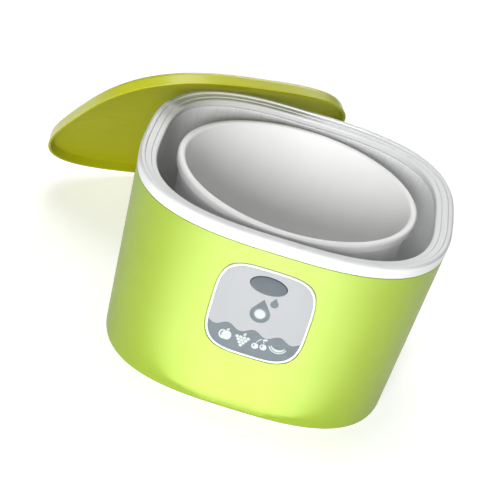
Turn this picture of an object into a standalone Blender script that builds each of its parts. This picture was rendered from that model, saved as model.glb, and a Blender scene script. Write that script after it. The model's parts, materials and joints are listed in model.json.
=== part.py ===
"""Yogurt maker with a rounded-square body, a lift-out container and a loose domed lid.

Metres, +Z up. The origin is the centre of the base cover's underside, and the control panel
faces -Y. The body's plan is a rounded square: its shells are turned about Z as round profiles,
and every ring is then pushed out to that plan, which keeps the gaps between them even.
"""
import math

import bmesh
import bpy
from mathutils import Euler, Matrix, Vector

MM = 0.001
GAP = 0.3 * MM                       # gap between pieces that touch or fit into each other
MERGE = 0.001 * MM                   # merge distance of turned seams and curve caps
OVERCUT = 2.0 * MM                   # how far a cutter runs past the face it opens
SHELL_STEPS = 48                     # steps round the big shells
FOOT_STEPS = 20                      # steps round the feet and their recesses
PANEL_STEPS = 48                     # steps round the panel's pieces
SMALL_STEPS = 10                     # steps round screws, posts and pins

# Body: outer size and the rounded-square plan
HALF_WIDTH_TOP = 92.0 * MM
HALF_WIDTH_BASE = 85.0 * MM
BODY_HEIGHT = 113.0 * MM
CORNER_EXTRA = 10.0 * MM             # how much further a corner reaches than a side
CORNER_BLEND = 75.0 * MM             # inside this radius the plan only scales
WALL = 2.6 * MM
TAPER = math.atan2(HALF_WIDTH_TOP - HALF_WIDTH_BASE, BODY_HEIGHT)

# Rim ring, with a stepped top that the lid sits on
RING_SEAM = 106.2 * MM               # height of the line between the ring and the housing
RING_INNER = 81.3 * MM
RING_UNDERSIDE = 107.4 * MM
RING_LAND = 111.9 * MM               # the lid's seat
RING_INNER_LAND = 111.3 * MM
SKIRT_BOTTOM = 99.0 * MM
SKIRT_THICKNESS = 1.8 * MM

# Liner that holds the container
LINER_WALL = 1.6 * MM
LINER_TOP_RADIUS = 81.5 * MM
LINER_FLOOR_RADIUS = 77.6 * MM
LINER_FLOOR = 22.5 * MM
LINER_FILLET = 4.0 * MM
LINER_FLANGE_RADIUS = 86.1 * MM
LINER_FLANGE_THICKNESS = 2.1 * MM

# Container
CONTAINER_STEPS = 48
CONTAINER_TOP = 108.9 * MM
CONTAINER_LIP_RADIUS = 71.4 * MM
CONTAINER_LIP_DEPTH = 5.4 * MM
CONTAINER_MOUTH = 67.0 * MM
CONTAINER_FLOOR_RADIUS = 60.5 * MM
CONTAINER_WALL = 1.8 * MM
CONTAINER_FILLET = 7.0 * MM

# Lid, and the way it leans on the back left corner of the rim
LID_HALF_WIDTH = 88.0 * MM
LID_SHOULDER_RADIUS = 84.3 * MM
LID_CROWN = 12.4 * MM
LID_DOME_DROP = 3.9 * MM             # from the crown to the shoulder
LID_DOME_POWER = 3.4                 # a higher exponent makes the top flatter
LID_WALL = 1.9 * MM
LEAN_YAW = math.radians(29.0)
LEAN_TILT = math.radians(47.0)
LEAN_SPIN = math.radians(7.0)
LEAN_DISTANCE = 74.6 * MM            # from the body's axis to the lid's upper edge, in plan
LEAN_SIDEWAYS = 4.6 * MM

# Base cover, feet and the screws that hold the housing down
BASE_RADIUS = 82.2 * MM
BASE_THICKNESS = 2.4 * MM
BASE_RIB_RADIUS = 68.0 * MM
BASE_RIB_HEIGHT = 2.4 * MM
FOOT_PLACE = 44.0 * MM
FOOT_RADIUS = 7.0 * MM
FOOT_HEIGHT = 2.0 * MM
FOOT_RECESS = 0.8 * MM
BASE_SCREW_PLACE = 63.0 * MM
BASE_SCREW_RADIUS = 1.3 * MM
BASE_SCREW_HEAD_RADIUS = 3.0 * MM
BASE_SCREW_SEAT = 1.4 * MM           # height of the face that the screws' heads pull on
BASE_BOSS_RADIUS = 5.0 * MM
BASE_BOSS_TOP = 16.0 * MM
VENT_LENGTH = 30.0 * MM
VENT_WIDTH = 2.4 * MM
VENT_PITCH = 6.0 * MM
VENT_ROW = 22.0 * MM                 # distance of the vent rows from the centre

# Control panel on the front wall; depths are measured outward from the wall's surface
PANEL_HEIGHT = 66.7 * MM             # height of the panel's centre
PANEL_HALF = 27.9 * MM               # half of its width
PANEL_ASPECT = 1.045                 # its height over its width
PANEL_POWER = 3.8                    # exponent of the panel's rounded-square outline
BEZEL_INNER = 26.5 * MM
BEZEL_FRONT = 0.3 * MM
BEZEL_LEDGE_FRONT = -0.7 * MM
BEZEL_LEDGE_BACK = -1.2 * MM
BEZEL_SKIRT_OUTER = 26.3 * MM
BEZEL_SKIRT_INNER = 24.9 * MM
BEZEL_SKIRT_BACK = -3.4 * MM
FACE_FRONT = 0.2 * MM
FACE_BACK = -0.4 * MM
BEND_STRIP = 7.0 * MM                # width of the strips a flat plate is bent in
BUTTON_PLACE = 19.0 * MM             # above the panel's centre
BUTTON_LONG = 10.4 * MM
BUTTON_SHORT = 5.6 * MM
BUTTON_STEM = 2.2 * MM
LENS_PLACE = 0.4 * MM
LENS_RADIUS = 3.1 * MM

# Control board behind the panel
BOARD_HALF_WIDTH = 34.5 * MM
BOARD_HALF_HEIGHT = 27.5 * MM
BOARD_FRONT = -5.3 * MM
BOARD_THICKNESS = 1.2 * MM
POST_ACROSS = 31.0 * MM
POST_UP = 24.0 * MM
POST_RADIUS = 2.4 * MM

# Small screws, shared by the boards, the liner and the heater clamp
SCREW_RADIUS = 1.0 * MM
SCREW_HEAD_RADIUS = 2.2 * MM
SCREW_HEAD = 1.0 * MM
PILOT_RADIUS = SCREW_RADIUS + GAP
LINER_SCREW_PLACE = 84.75 * MM

# Heater stack under the liner
HEATER_RADIUS = 38.0 * MM
HEATER_THICKNESS = 1.5 * MM
MICA_RADIUS = 34.0 * MM
MICA_THICKNESS = 1.2 * MM
FELT_RADIUS = 36.0 * MM
FELT_THICKNESS = 1.7 * MM
CLAMP_PLACE = 42.0 * MM
CLAMP_HALF_LENGTH = 46.5 * MM
CLAMP_HALF_WIDTH = 6.0 * MM
CLAMP_THICKNESS = 1.2 * MM
CLAMP_BOSS_RADIUS = 3.5 * MM

# Power board on the base cover
POWER_BOARD_Y = 50.0 * MM
POWER_BOARD_HALF = (36.0 * MM, 12.0 * MM)
POWER_BOARD_BOTTOM = 6.2 * MM
POWER_POST_ACROSS = 32.0 * MM
POWER_POST_DEEP = 8.5 * MM

# Mains inlet in the back wall
INLET_HEIGHT = 11.5 * MM
INLET_HALF = (9.0 * MM, 5.4 * MM)
INLET_FLANGE_HALF = (11.5 * MM, 7.4 * MM)
INLET_FLANGE_BACK = 86.3 * MM
INLET_FLANGE_FRONT = 87.6 * MM
INLET_BACK = 71.0 * MM
INLET_SOCKET_HALF = (7.3 * MM, 4.1 * MM)
INLET_SOCKET_BACK = 75.5 * MM
PIN_SPACING = 4.3 * MM
PIN_RADIUS = 1.2 * MM

# Radii of the wires
MAINS_WIRE = 0.9 * MM
HEATER_WIRE = 0.45 * MM
SENSOR_WIRE = 0.7 * MM

LIME = (0.62, 0.80, 0.13)
OLIVE_LIME = (0.58, 0.72, 0.12)
WHITE = (0.86, 0.87, 0.86)
SILVER_GREY = (0.45, 0.46, 0.47)
PANEL_GREY = (0.70, 0.72, 0.75)
SLATE = (0.20, 0.24, 0.27)
RUBBER = (0.03, 0.03, 0.03)
STEEL = (0.60, 0.60, 0.62)
BOARD_GREEN = (0.03, 0.22, 0.09)
BLACK_PLASTIC = (0.02, 0.02, 0.02)


# ---------------------------------------------------------------- scene and objects

def clear_scene():
    """Remove every object, so that the script can be run again."""
    for obj in list(bpy.data.objects):
        bpy.data.objects.remove(obj, do_unlink=True)


def new_collection(name):
    """Collection of this name, linked to the scene."""
    collection = bpy.data.collections.get(name) or bpy.data.collections.new(name)
    if collection.name not in bpy.context.scene.collection.children:
        bpy.context.scene.collection.children.link(collection)
    return collection


clear_scene()
PARTS = new_collection("yogurt_maker")
CUTTERS = new_collection("cutters")


def plastic(obj, colour, roughness=0.4, metallic=0.0):
    """Give an object its own Principled material."""
    material = bpy.data.materials.new(obj.name)
    material.use_nodes = True
    shader = material.node_tree.nodes["Principled BSDF"]
    shader.inputs["Base Color"].default_value = (*colour, 1.0)
    shader.inputs["Roughness"].default_value = roughness
    shader.inputs["Metallic"].default_value = metallic
    material.diffuse_color = (*colour, 1.0)
    obj.data.materials.clear()
    obj.data.materials.append(material)
    return obj


def add_object(name, data, collection=PARTS):
    """Object of this name, in the parts or the cutters."""
    obj = bpy.data.objects.new(name, data)
    collection.objects.link(obj)
    if collection is CUTTERS:
        obj.hide_render = True
        obj.display_type = "WIRE"
    return obj


def evaluated_mesh(obj):
    """Copy of an object's mesh with its modifiers applied and its seams welded."""
    bpy.context.view_layer.update()
    graph = bpy.context.evaluated_depsgraph_get()
    mesh = bpy.data.meshes.new_from_object(obj.evaluated_get(graph))
    shape = bmesh.new()
    shape.from_mesh(mesh)
    bmesh.ops.remove_doubles(shape, verts=shape.verts, dist=MERGE)
    shape.to_mesh(mesh)
    shape.free()
    return mesh


def as_mesh(obj):
    """Replace a curve or a modified object by the plain mesh it makes, in the same place."""
    name = obj.name
    place = obj.matrix_world.copy()
    collection = obj.users_collection[0]
    mesh = evaluated_mesh(obj)
    bpy.data.objects.remove(obj, do_unlink=True)
    mesh.name = name
    result = add_object(name, mesh, collection)
    result.matrix_world = place
    return result


def boolean(obj, other, operation):
    """Cut another object from this one, or join it on."""
    modifier = obj.modifiers.new(other.name, "BOOLEAN")
    modifier.operation = operation
    modifier.solver = "EXACT"
    modifier.object = other


def smooth(obj, angle=35.0):
    """Smooth shading, with edges sharper than the angle kept sharp."""
    obj.data.shade_smooth()
    obj.data.set_sharp_from_angle(angle=math.radians(angle))
    return obj


# ---------------------------------------------------------------- shapes

def turned(name, profile, steps=SMALL_STEPS, plan=None, collection=PARTS):
    """Solid turned about Z from (radius, height) points.

    The points run down the outer side and back up the inner side. The profile closes on
    itself, unless its ends are on the axis. A plan function then reshapes the rings.
    """
    ends_on_axis = profile[0][0] == 0.0
    count = len(profile)
    last = count - 1 if ends_on_axis else count
    edges = [(index, (index + 1) % count) for index in range(last)]
    mesh = bpy.data.meshes.new(name)
    mesh.from_pydata([(radius, 0.0, height) for radius, height in profile], edges, [])
    obj = add_object(name, mesh, collection)
    screw = obj.modifiers.new("turn", "SCREW")
    screw.axis = "Z"
    screw.steps = steps
    screw.render_steps = steps
    screw.use_merge_vertices = True
    screw.merge_threshold = MERGE
    obj = as_mesh(obj)
    if plan:
        for vertex in obj.data.vertices:
            radius = math.hypot(vertex.co.x, vertex.co.y)
            if radius > MERGE:
                x, y = plan(radius, math.atan2(vertex.co.y, vertex.co.x))
                vertex.co.x = x
                vertex.co.y = y
    return smooth(obj)


def superellipse(half_x, half_y, power, steps):
    """Closed outline of a rounded rectangle; a power of 2 is an ellipse."""
    outline = []
    for step in range(steps):
        angle = 2.0 * math.pi * step / steps
        cosine = math.cos(angle)
        sine = math.sin(angle)
        length = (abs(cosine) ** power + abs(sine) ** power) ** (-1.0 / power)
        outline.append((half_x * length * cosine, half_y * length * sine))
    return outline


def shifted(outline, x, y):
    """Outline moved to a new centre."""
    return [(point_x + x, point_y + y) for point_x, point_y in outline]


def plate(name, outlines, bottom, top, collection=PARTS):
    """Flat plate between two heights: the first outline is its edge, the others its holes."""
    curve = bpy.data.curves.new(name, "CURVE")
    curve.dimensions = "2D"
    curve.fill_mode = "BOTH"
    curve.extrude = (top - bottom) / 2.0
    for outline in outlines:
        spline = curve.splines.new("POLY")
        spline.points.add(len(outline) - 1)
        for point, (x, y) in zip(spline.points, outline):
            point.co = (x, y, 0.0, 1.0)
        spline.use_cyclic_u = True
    obj = add_object(name, curve, collection)
    obj = as_mesh(obj)
    obj.data.transform(Matrix.Translation((0.0, 0.0, (top + bottom) / 2.0)))
    return obj


def box(name, low, high, collection=PARTS):
    """Box between two corners."""
    size = Vector(high) - Vector(low)
    middle = (Vector(high) + Vector(low)) / 2.0
    shape = bmesh.new()
    bmesh.ops.create_cube(shape, size=1.0, matrix=Matrix.Diagonal((*size, 1.0)))
    mesh = bpy.data.meshes.new(name)
    shape.to_mesh(mesh)
    shape.free()
    obj = add_object(name, mesh, collection)
    obj.location = middle
    return obj


def rounded(obj, width):
    """Round every edge of a box-like piece."""
    bevel = obj.modifiers.new("edges", "BEVEL")
    bevel.width = width
    bevel.segments = 2
    return obj


def cylinder(name, radius, bottom, top, steps=SMALL_STEPS, collection=PARTS):
    """Upright cylinder on the Z axis between two heights."""
    shape = bmesh.new()
    bmesh.ops.create_cone(shape, cap_ends=True, segments=steps,
                          radius1=radius, radius2=radius, depth=top - bottom)
    mesh = bpy.data.meshes.new(name)
    shape.to_mesh(mesh)
    shape.free()
    obj = add_object(name, mesh, collection)
    obj.location = (0.0, 0.0, (top + bottom) / 2.0)
    return smooth(obj)


def repeated(name, pattern, places):
    """One cutter that holds a copy of the pattern at each place."""
    source = evaluated_mesh(pattern)
    start = pattern.matrix_world.copy()
    bpy.data.objects.remove(pattern, do_unlink=True)
    shape = bmesh.new()
    for place in places:
        copy = source.copy()
        copy.transform(place @ start)
        shape.from_mesh(copy)
    mesh = bpy.data.meshes.new(name)
    shape.to_mesh(mesh)
    shape.free()
    return add_object(name, mesh, CUTTERS)


def copies(name, pattern, places):
    """A numbered piece at each place; they share the pattern's mesh, and the pattern goes."""
    for number, place in enumerate(places, start=1):
        piece = add_object(f"{name}_{number}", pattern.data)
        piece.matrix_world = place @ pattern.matrix_world
    bpy.data.objects.remove(pattern, do_unlink=True)


def corners(x, y):
    """The four corners of a rectangle about the origin."""
    return [(x, y), (-x, y), (-x, -y), (x, -y)]


def shifts(points):
    """Translations to points of the plan."""
    return [Matrix.Translation((x, y, 0.0)) for x, y in points]


def smooth_route(points, per_span=4):
    """Catmull-Rom curve through a wire's own points."""
    ends = [2.0 * Vector(points[0]) - Vector(points[1])]
    tail = [2.0 * Vector(points[-1]) - Vector(points[-2])]
    knots = ends + [Vector(point) for point in points] + tail
    route = []
    for span in range(1, len(knots) - 2):
        before, start, end, after = knots[span - 1:span + 3]
        for step in range(per_span):
            t = step / per_span
            route.append(0.5 * (2.0 * start + (end - before) * t
                                + (2.0 * before - 5.0 * start + 4.0 * end - after) * t ** 2
                                + (3.0 * start - 3.0 * end + after - before) * t ** 3))
    route.append(knots[-2])
    return route


def wire(name, points, radius, colour):
    """Insulated wire along a route given in millimetres."""
    curve = bpy.data.curves.new(name, "CURVE")
    curve.dimensions = "3D"
    curve.bevel_depth = radius
    curve.bevel_resolution = 1
    curve.use_fill_caps = True
    route = smooth_route([Vector(point) * MM for point in points])
    spline = curve.splines.new("POLY")
    spline.points.add(len(route) - 1)
    for point, place in zip(spline.points, route):
        point.co = (*place, 1.0)
    return plastic(smooth(as_mesh(add_object(name, curve))), colour, 0.5)


# ---------------------------------------------------------------- body plan and panel place

def body_half_width(height):
    """Half width of the body's outer wall at a height."""
    return HALF_WIDTH_BASE + (HALF_WIDTH_TOP - HALF_WIDTH_BASE) * height / BODY_HEIGHT


def plan_power(radius):
    """Exponent of the rounded-square plan, whose corners reach CORNER_EXTRA further."""
    reach = 1.0 + CORNER_EXTRA / max(radius, CORNER_BLEND)
    return 1.0 / (0.5 - math.log2(reach))


def body_plan(radius, angle):
    """Point of the rounded-square plan for a ring's radius and angle."""
    power = plan_power(radius)
    cosine = math.cos(angle)
    sine = math.sin(angle)
    length = radius / (abs(cosine) ** power + abs(sine) ** power) ** (1.0 / power)
    return length * cosine, length * sine


def panel_plan(radius, angle):
    """Point of the panel's rounded outline, which is a little taller than wide."""
    cosine = math.cos(angle)
    sine = math.sin(angle)
    total = abs(cosine) ** PANEL_POWER + abs(sine) ** PANEL_POWER
    length = radius / total ** (1.0 / PANEL_POWER)
    return length * cosine, PANEL_ASPECT * length * sine


def panel_outline(half_width):
    """Closed outline of the panel's shape."""
    return superellipse(half_width, PANEL_ASPECT * half_width, PANEL_POWER, PANEL_STEPS)


def button_plan(radius, angle):
    """Oval outline that is round near the stem."""
    part_way = (radius - BUTTON_STEM) / (BUTTON_LONG - BUTTON_STEM)
    squash = (BUTTON_LONG - BUTTON_SHORT) * min(max(part_way, 0.0), 1.0)
    return radius * math.cos(angle), (radius - squash) * math.sin(angle)


def wall_sag(x):
    """How far the front wall falls back at a distance from its middle line."""
    half = body_half_width(PANEL_HEIGHT)
    power = plan_power(half)
    return half * (1.0 - (1.0 - (abs(x) / half) ** power) ** (1.0 / power))


def panel_matrix(across=0.0, up=0.0):
    """Place on the front wall: local X runs across, Y up the wall and Z outward."""
    centre = Matrix.Translation((0.0, -body_half_width(PANEL_HEIGHT), PANEL_HEIGHT))
    turn = Euler((math.pi / 2.0 + TAPER, 0.0, 0.0)).to_matrix().to_4x4()
    return centre @ turn @ Matrix.Translation((across, up, 0.0))


def bend_to_wall(obj):
    """Cut a flat panel piece into upright strips and bend them to the front wall."""
    shape = bmesh.new()
    shape.from_mesh(obj.data)
    for index in range(-4, 5):
        everything = shape.verts[:] + shape.edges[:] + shape.faces[:]
        bmesh.ops.bisect_plane(shape, geom=everything, dist=MERGE,
                               plane_co=(index * BEND_STRIP, 0.0, 0.0), plane_no=(1.0, 0.0, 0.0))
    for vertex in shape.verts:
        vertex.co.z -= wall_sag(vertex.co.x)
    shape.to_mesh(obj.data)
    shape.free()
    obj.matrix_world = panel_matrix()
    return obj


# ---------------------------------------------------------------- shells

def rim_ring():
    """White ring on top of the housing: crown, the lid's seat and an inner land."""
    top = BODY_HEIGHT
    skirt = WALL + GAP
    back = skirt + SKIRT_THICKNESS
    profile = [
        (HALF_WIDTH_TOP - 0.6 * MM, top - 0.5 * MM),
        (body_half_width(top - 1.8 * MM), top - 1.8 * MM),
        (body_half_width(RING_SEAM), RING_SEAM),
        (body_half_width(RING_SEAM) - skirt, RING_SEAM),
        (body_half_width(SKIRT_BOTTOM) - skirt, SKIRT_BOTTOM),
        (body_half_width(SKIRT_BOTTOM) - back, SKIRT_BOTTOM),
        (body_half_width(RING_UNDERSIDE) - back, RING_UNDERSIDE),
        (RING_INNER, RING_UNDERSIDE),
        (RING_INNER, RING_INNER_LAND - 1.0 * MM),
        (RING_INNER + 0.3 * MM, RING_INNER_LAND - 0.3 * MM),
        (RING_INNER + 1.0 * MM, RING_INNER_LAND),
        (RING_INNER + 3.3 * MM, RING_INNER_LAND),
        (RING_INNER + 3.7 * MM, RING_LAND),
        (LID_HALF_WIDTH + GAP, RING_LAND),
        (LID_HALF_WIDTH + 2.0 * GAP, top - 0.5 * MM),
        (HALF_WIDTH_TOP - 2.8 * MM, top),
        (HALF_WIDTH_TOP - 1.5 * MM, top),
    ]
    ring = turned("rim_ring", profile, SHELL_STEPS, body_plan)
    pilots = repeated("ring_pilot_holes",
                      cylinder("pilot", PILOT_RADIUS, RING_UNDERSIDE - OVERCUT,
                               RING_UNDERSIDE + 2.8 * MM, collection=CUTTERS),
                      shifts(side_places(LINER_SCREW_PLACE)))
    boolean(ring, pilots, "DIFFERENCE")
    return plastic(ring, WHITE, 0.25)


def side_places(distance):
    """The middles of the four sides."""
    return [(distance, 0.0), (0.0, distance), (-distance, 0.0), (0.0, -distance)]


def outer_housing():
    """Green wall with the panel's recess, the inlet's opening and its inner posts."""
    top = RING_SEAM - GAP
    foot = 2.0 * MM
    inner_base = BASE_RADIUS + GAP
    profile = [
        (body_half_width(top), top),
        (body_half_width(foot), foot),
        (body_half_width(0.0) - 0.5 * MM, 0.6 * MM),
        (body_half_width(0.0) - 1.6 * MM, 0.0),
        (inner_base, 0.0),
        (inner_base, BASE_THICKNESS),
        (body_half_width(top) - WALL, top),
    ]
    housing = turned("outer_housing", profile, SHELL_STEPS, body_plan)

    bosses = repeated("base_bosses",
                      cylinder("boss", BASE_BOSS_RADIUS, BASE_THICKNESS + GAP, BASE_BOSS_TOP,
                               collection=CUTTERS),
                      shifts(corners(BASE_SCREW_PLACE, BASE_SCREW_PLACE)))
    boolean(housing, bosses, "UNION")
    post_back = BOARD_FRONT + GAP
    posts = repeated("board_posts",
                     cylinder("post", POST_RADIUS, post_back, -WALL, collection=CUTTERS),
                     [panel_matrix(x, y) for x, y in corners(POST_ACROSS, POST_UP)])
    boolean(housing, posts, "UNION")
    boss_holes = repeated("base_boss_holes",
                          cylinder("hole", BASE_SCREW_RADIUS + GAP, 0.5 * MM, 13.0 * MM,
                                   collection=CUTTERS),
                          shifts(corners(BASE_SCREW_PLACE, BASE_SCREW_PLACE)))
    boolean(housing, boss_holes, "DIFFERENCE")
    post_holes = repeated("board_post_holes",
                          cylinder("hole", PILOT_RADIUS, post_back - OVERCUT, -2.9 * MM,
                                   collection=CUTTERS),
                          [panel_matrix(x, y) for x, y in corners(POST_ACROSS, POST_UP)])
    boolean(housing, post_holes, "DIFFERENCE")

    recess = plate("panel_recess", [panel_outline(PANEL_HALF + GAP)],
                   BEZEL_LEDGE_BACK - GAP, OVERCUT, CUTTERS)
    boolean(housing, bend_to_wall(recess), "DIFFERENCE")
    window = plate("panel_window", [panel_outline(BEZEL_SKIRT_OUTER + GAP)],
                   BEZEL_SKIRT_BACK - OVERCUT, OVERCUT, CUTTERS)
    boolean(housing, bend_to_wall(window), "DIFFERENCE")
    opening = box("inlet_opening",
                  (-INLET_HALF[0] - GAP, INLET_BACK, INLET_HEIGHT - INLET_HALF[1] - GAP),
                  (INLET_HALF[0] + GAP, HALF_WIDTH_TOP, INLET_HEIGHT + INLET_HALF[1] + GAP),
                  CUTTERS)
    boolean(housing, opening, "DIFFERENCE")
    return plastic(housing, LIME, 0.3)


def liner_radius(height):
    """Inner half width of the liner at a height."""
    share = (height - LINER_FLOOR) / (RING_UNDERSIDE - LINER_FLOOR)
    return LINER_FLOOR_RADIUS + (LINER_TOP_RADIUS - LINER_FLOOR_RADIUS) * share


def cavity_liner():
    """Grey tub that the container stands in, with the bosses of the heater clamp."""
    top = RING_UNDERSIDE - GAP
    under_flange = top - LINER_FLANGE_THICKNESS
    bottom = LINER_FLOOR - LINER_WALL
    outer_fillet = LINER_FILLET + LINER_WALL
    profile = [
        (0.0, LINER_FLOOR),
        (liner_radius(LINER_FLOOR) - LINER_FILLET, LINER_FLOOR),
        (liner_radius(LINER_FLOOR) - 0.3 * LINER_FILLET, LINER_FLOOR + 0.3 * LINER_FILLET),
        (liner_radius(LINER_FLOOR + LINER_FILLET), LINER_FLOOR + LINER_FILLET),
        (liner_radius(top), top),
        (LINER_FLANGE_RADIUS, top),
        (LINER_FLANGE_RADIUS, under_flange),
        (liner_radius(under_flange) + LINER_WALL, under_flange),
        (liner_radius(bottom + outer_fillet) + LINER_WALL, bottom + outer_fillet),
        (liner_radius(bottom) + LINER_WALL - 0.3 * outer_fillet, bottom + 0.3 * outer_fillet),
        (liner_radius(bottom) + LINER_WALL - outer_fillet, bottom),
        (0.0, bottom),
    ]
    liner = turned("cavity_liner", profile, SHELL_STEPS, body_plan)
    places = [(CLAMP_PLACE, 0.0), (-CLAMP_PLACE, 0.0)]
    clamp_top = heater_levels()["clamp_top"]
    bosses = repeated("clamp_bosses",
                      cylinder("boss", CLAMP_BOSS_RADIUS, clamp_top + GAP, bottom + 0.5 * LINER_WALL,
                               collection=CUTTERS), shifts(places))
    boolean(liner, bosses, "UNION")
    holes = repeated("clamp_boss_holes",
                     cylinder("hole", PILOT_RADIUS, clamp_top - OVERCUT, bottom - 0.5 * MM,
                              collection=CUTTERS), shifts(places))
    boolean(liner, holes, "DIFFERENCE")
    flange_holes = repeated("liner_flange_holes",
                            cylinder("hole", PILOT_RADIUS, under_flange - OVERCUT, top + OVERCUT,
                                     collection=CUTTERS),
                            shifts(side_places(LINER_SCREW_PLACE)))
    boolean(liner, flange_holes, "DIFFERENCE")
    return plastic(liner, SILVER_GREY, 0.35)


def inner_container():
    """Round white container with a broad lip, standing on the liner's floor."""
    bottom = LINER_FLOOR + GAP
    floor = bottom + 2.0 * MM
    lip_bottom = CONTAINER_TOP - CONTAINER_LIP_DEPTH
    outer_floor = CONTAINER_FLOOR_RADIUS + CONTAINER_WALL
    fillet = CONTAINER_FILLET
    profile = [
        (0.0, floor),
        (CONTAINER_FLOOR_RADIUS - fillet, floor),
        (CONTAINER_FLOOR_RADIUS - 0.3 * fillet, floor + 0.3 * fillet),
        (CONTAINER_FLOOR_RADIUS, floor + fillet),
        (CONTAINER_MOUTH, CONTAINER_TOP - 1.2 * MM),
        (CONTAINER_MOUTH + 0.7 * MM, CONTAINER_TOP - 0.2 * MM),
        (CONTAINER_MOUTH + 1.8 * MM, CONTAINER_TOP),
        (CONTAINER_LIP_RADIUS - 1.0 * MM, CONTAINER_TOP - 0.4 * MM),
        (CONTAINER_LIP_RADIUS, CONTAINER_TOP - 1.6 * MM),
        (CONTAINER_LIP_RADIUS - 0.2 * MM, lip_bottom),
        (CONTAINER_MOUTH + CONTAINER_WALL, lip_bottom),
        (outer_floor, bottom + fillet),
        (outer_floor - 0.3 * fillet, bottom + 0.3 * fillet),
        (outer_floor - fillet, bottom),
        (0.0, bottom),
    ]
    container = turned("inner_container", profile, CONTAINER_STEPS)
    return plastic(container, WHITE, 0.2)


def lid_matrix():
    """Place of the leaning lid: its lower edge is on the ground behind the body."""
    turn = (Matrix.Rotation(LEAN_YAW, 3, "Z") @ Matrix.Rotation(-LEAN_TILT, 3, "X")
            @ Matrix.Rotation(LEAN_SPIN, 3, "Z"))
    away = Vector((-math.sin(LEAN_YAW), math.cos(LEAN_YAW), 0.0))
    left = Vector((-math.cos(LEAN_YAW), -math.sin(LEAN_YAW), 0.0))
    distance = LEAN_DISTANCE + LID_HALF_WIDTH * math.cos(LEAN_TILT)
    centre = away * distance + left * LEAN_SIDEWAYS
    edge = [body_plan(LID_HALF_WIDTH, math.radians(angle)) for angle in range(360)]
    lowest = min((turn @ Vector((x, y, 0.0))).z for x, y in edge)
    centre.z = -FOOT_HEIGHT - lowest
    return Matrix.Translation(centre) @ turn.to_4x4()


def lid_dome(radius):
    """Height of the lid's outer face over its edge, at a radius inside the shoulder."""
    return LID_CROWN - LID_DOME_DROP * (radius / LID_SHOULDER_RADIUS) ** LID_DOME_POWER


def outer_lid():
    """Shallow domed lid. Its own axis points out of the dome, and its edge is at zero."""
    shoulder = LID_CROWN - LID_DOME_DROP
    outer = [(radius * MM, lid_dome(radius * MM)) for radius in (0.0, 36.0, 58.0, 72.0, 82.8)]
    inner = [(radius * MM, lid_dome(radius * MM) - LID_WALL) for radius in (72.0, 58.0, 34.0, 0.0)]
    profile = outer + [
        (LID_SHOULDER_RADIUS + 0.9 * MM, shoulder - 1.1 * MM),
        (LID_SHOULDER_RADIUS + 2.3 * MM, shoulder - 3.3 * MM),
        (LID_HALF_WIDTH, 0.0),
        (LID_HALF_WIDTH - LID_WALL, 0.0),
        (LID_SHOULDER_RADIUS + 0.3 * MM, shoulder - 4.1 * MM),
        (LID_SHOULDER_RADIUS - 2.0 * MM, shoulder - 2.2 * MM),
    ] + inner
    lid = turned("outer_lid", profile, SHELL_STEPS, body_plan)
    lid.matrix_world = lid_matrix()
    return plastic(lid, OLIVE_LIME, 0.3)


# ---------------------------------------------------------------- base

def base_cover():
    """Plate that closes the base, with vents, foot recesses, screw holes and board posts."""
    rib = BASE_RIB_RADIUS
    top = BASE_THICKNESS
    profile = [
        (0.0, top),
        (rib - 2.0 * MM, top),
        (rib - 2.0 * MM, top + BASE_RIB_HEIGHT),
        (rib, top + BASE_RIB_HEIGHT),
        (rib, top),
        (BASE_RADIUS, top),
        (BASE_RADIUS, 0.0),
        (0.0, 0.0),
    ]
    cover = turned("base_cover", profile, SHELL_STEPS, body_plan)
    posts = repeated("power_posts",
                     cylinder("post", POST_RADIUS, 0.5 * top, POWER_BOARD_BOTTOM - GAP,
                              collection=CUTTERS), shifts(power_posts()))
    boolean(cover, posts, "UNION")
    post_holes = repeated("power_post_holes",
                          cylinder("hole", PILOT_RADIUS, top, POWER_BOARD_BOTTOM + OVERCUT,
                                   collection=CUTTERS), shifts(power_posts()))
    boolean(cover, post_holes, "DIFFERENCE")
    foot_recesses = repeated("foot_recesses",
                             cylinder("recess", FOOT_RADIUS + GAP, -OVERCUT, FOOT_RECESS,
                                      FOOT_STEPS, CUTTERS),
                             shifts(corners(FOOT_PLACE, FOOT_PLACE)))
    boolean(cover, foot_recesses, "DIFFERENCE")
    head_room = turned("head_room", [
        (0.0, top + OVERCUT),
        (BASE_SCREW_RADIUS + GAP, top + OVERCUT),
        (BASE_SCREW_RADIUS + GAP, BASE_SCREW_SEAT),
        (BASE_SCREW_HEAD_RADIUS + GAP, BASE_SCREW_SEAT),
        (BASE_SCREW_HEAD_RADIUS + GAP, -OVERCUT),
        (0.0, -OVERCUT)], collection=CUTTERS)
    screw_holes = repeated("base_screw_holes", head_room,
                           shifts(corners(BASE_SCREW_PLACE, BASE_SCREW_PLACE)))
    boolean(cover, screw_holes, "DIFFERENCE")
    slot = box("slot", (-VENT_LENGTH / 2.0, -VENT_WIDTH / 2.0, -OVERCUT),
               (VENT_LENGTH / 2.0, VENT_WIDTH / 2.0, top + OVERCUT), CUTTERS)
    rows = [side * VENT_ROW + index * VENT_PITCH for side in (-1, 1) for index in (-1, 0, 1)]
    vents = repeated("vents", slot, [Matrix.Translation((0.0, y, 0.0)) for y in rows])
    boolean(cover, vents, "DIFFERENCE")
    return plastic(cover, WHITE, 0.5)


def rubber_feet():
    """Four soft feet in the base cover's recesses."""
    foot = turned("foot", [
        (0.0, FOOT_RECESS - GAP),
        (FOOT_RADIUS, FOOT_RECESS - GAP),
        (FOOT_RADIUS, 0.6 * MM - FOOT_HEIGHT),
        (FOOT_RADIUS - 0.6 * MM, -FOOT_HEIGHT),
        (0.0, -FOOT_HEIGHT)], FOOT_STEPS)
    copies("rubber_foot", plastic(foot, RUBBER, 0.8), shifts(corners(FOOT_PLACE, FOOT_PLACE)))


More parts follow.
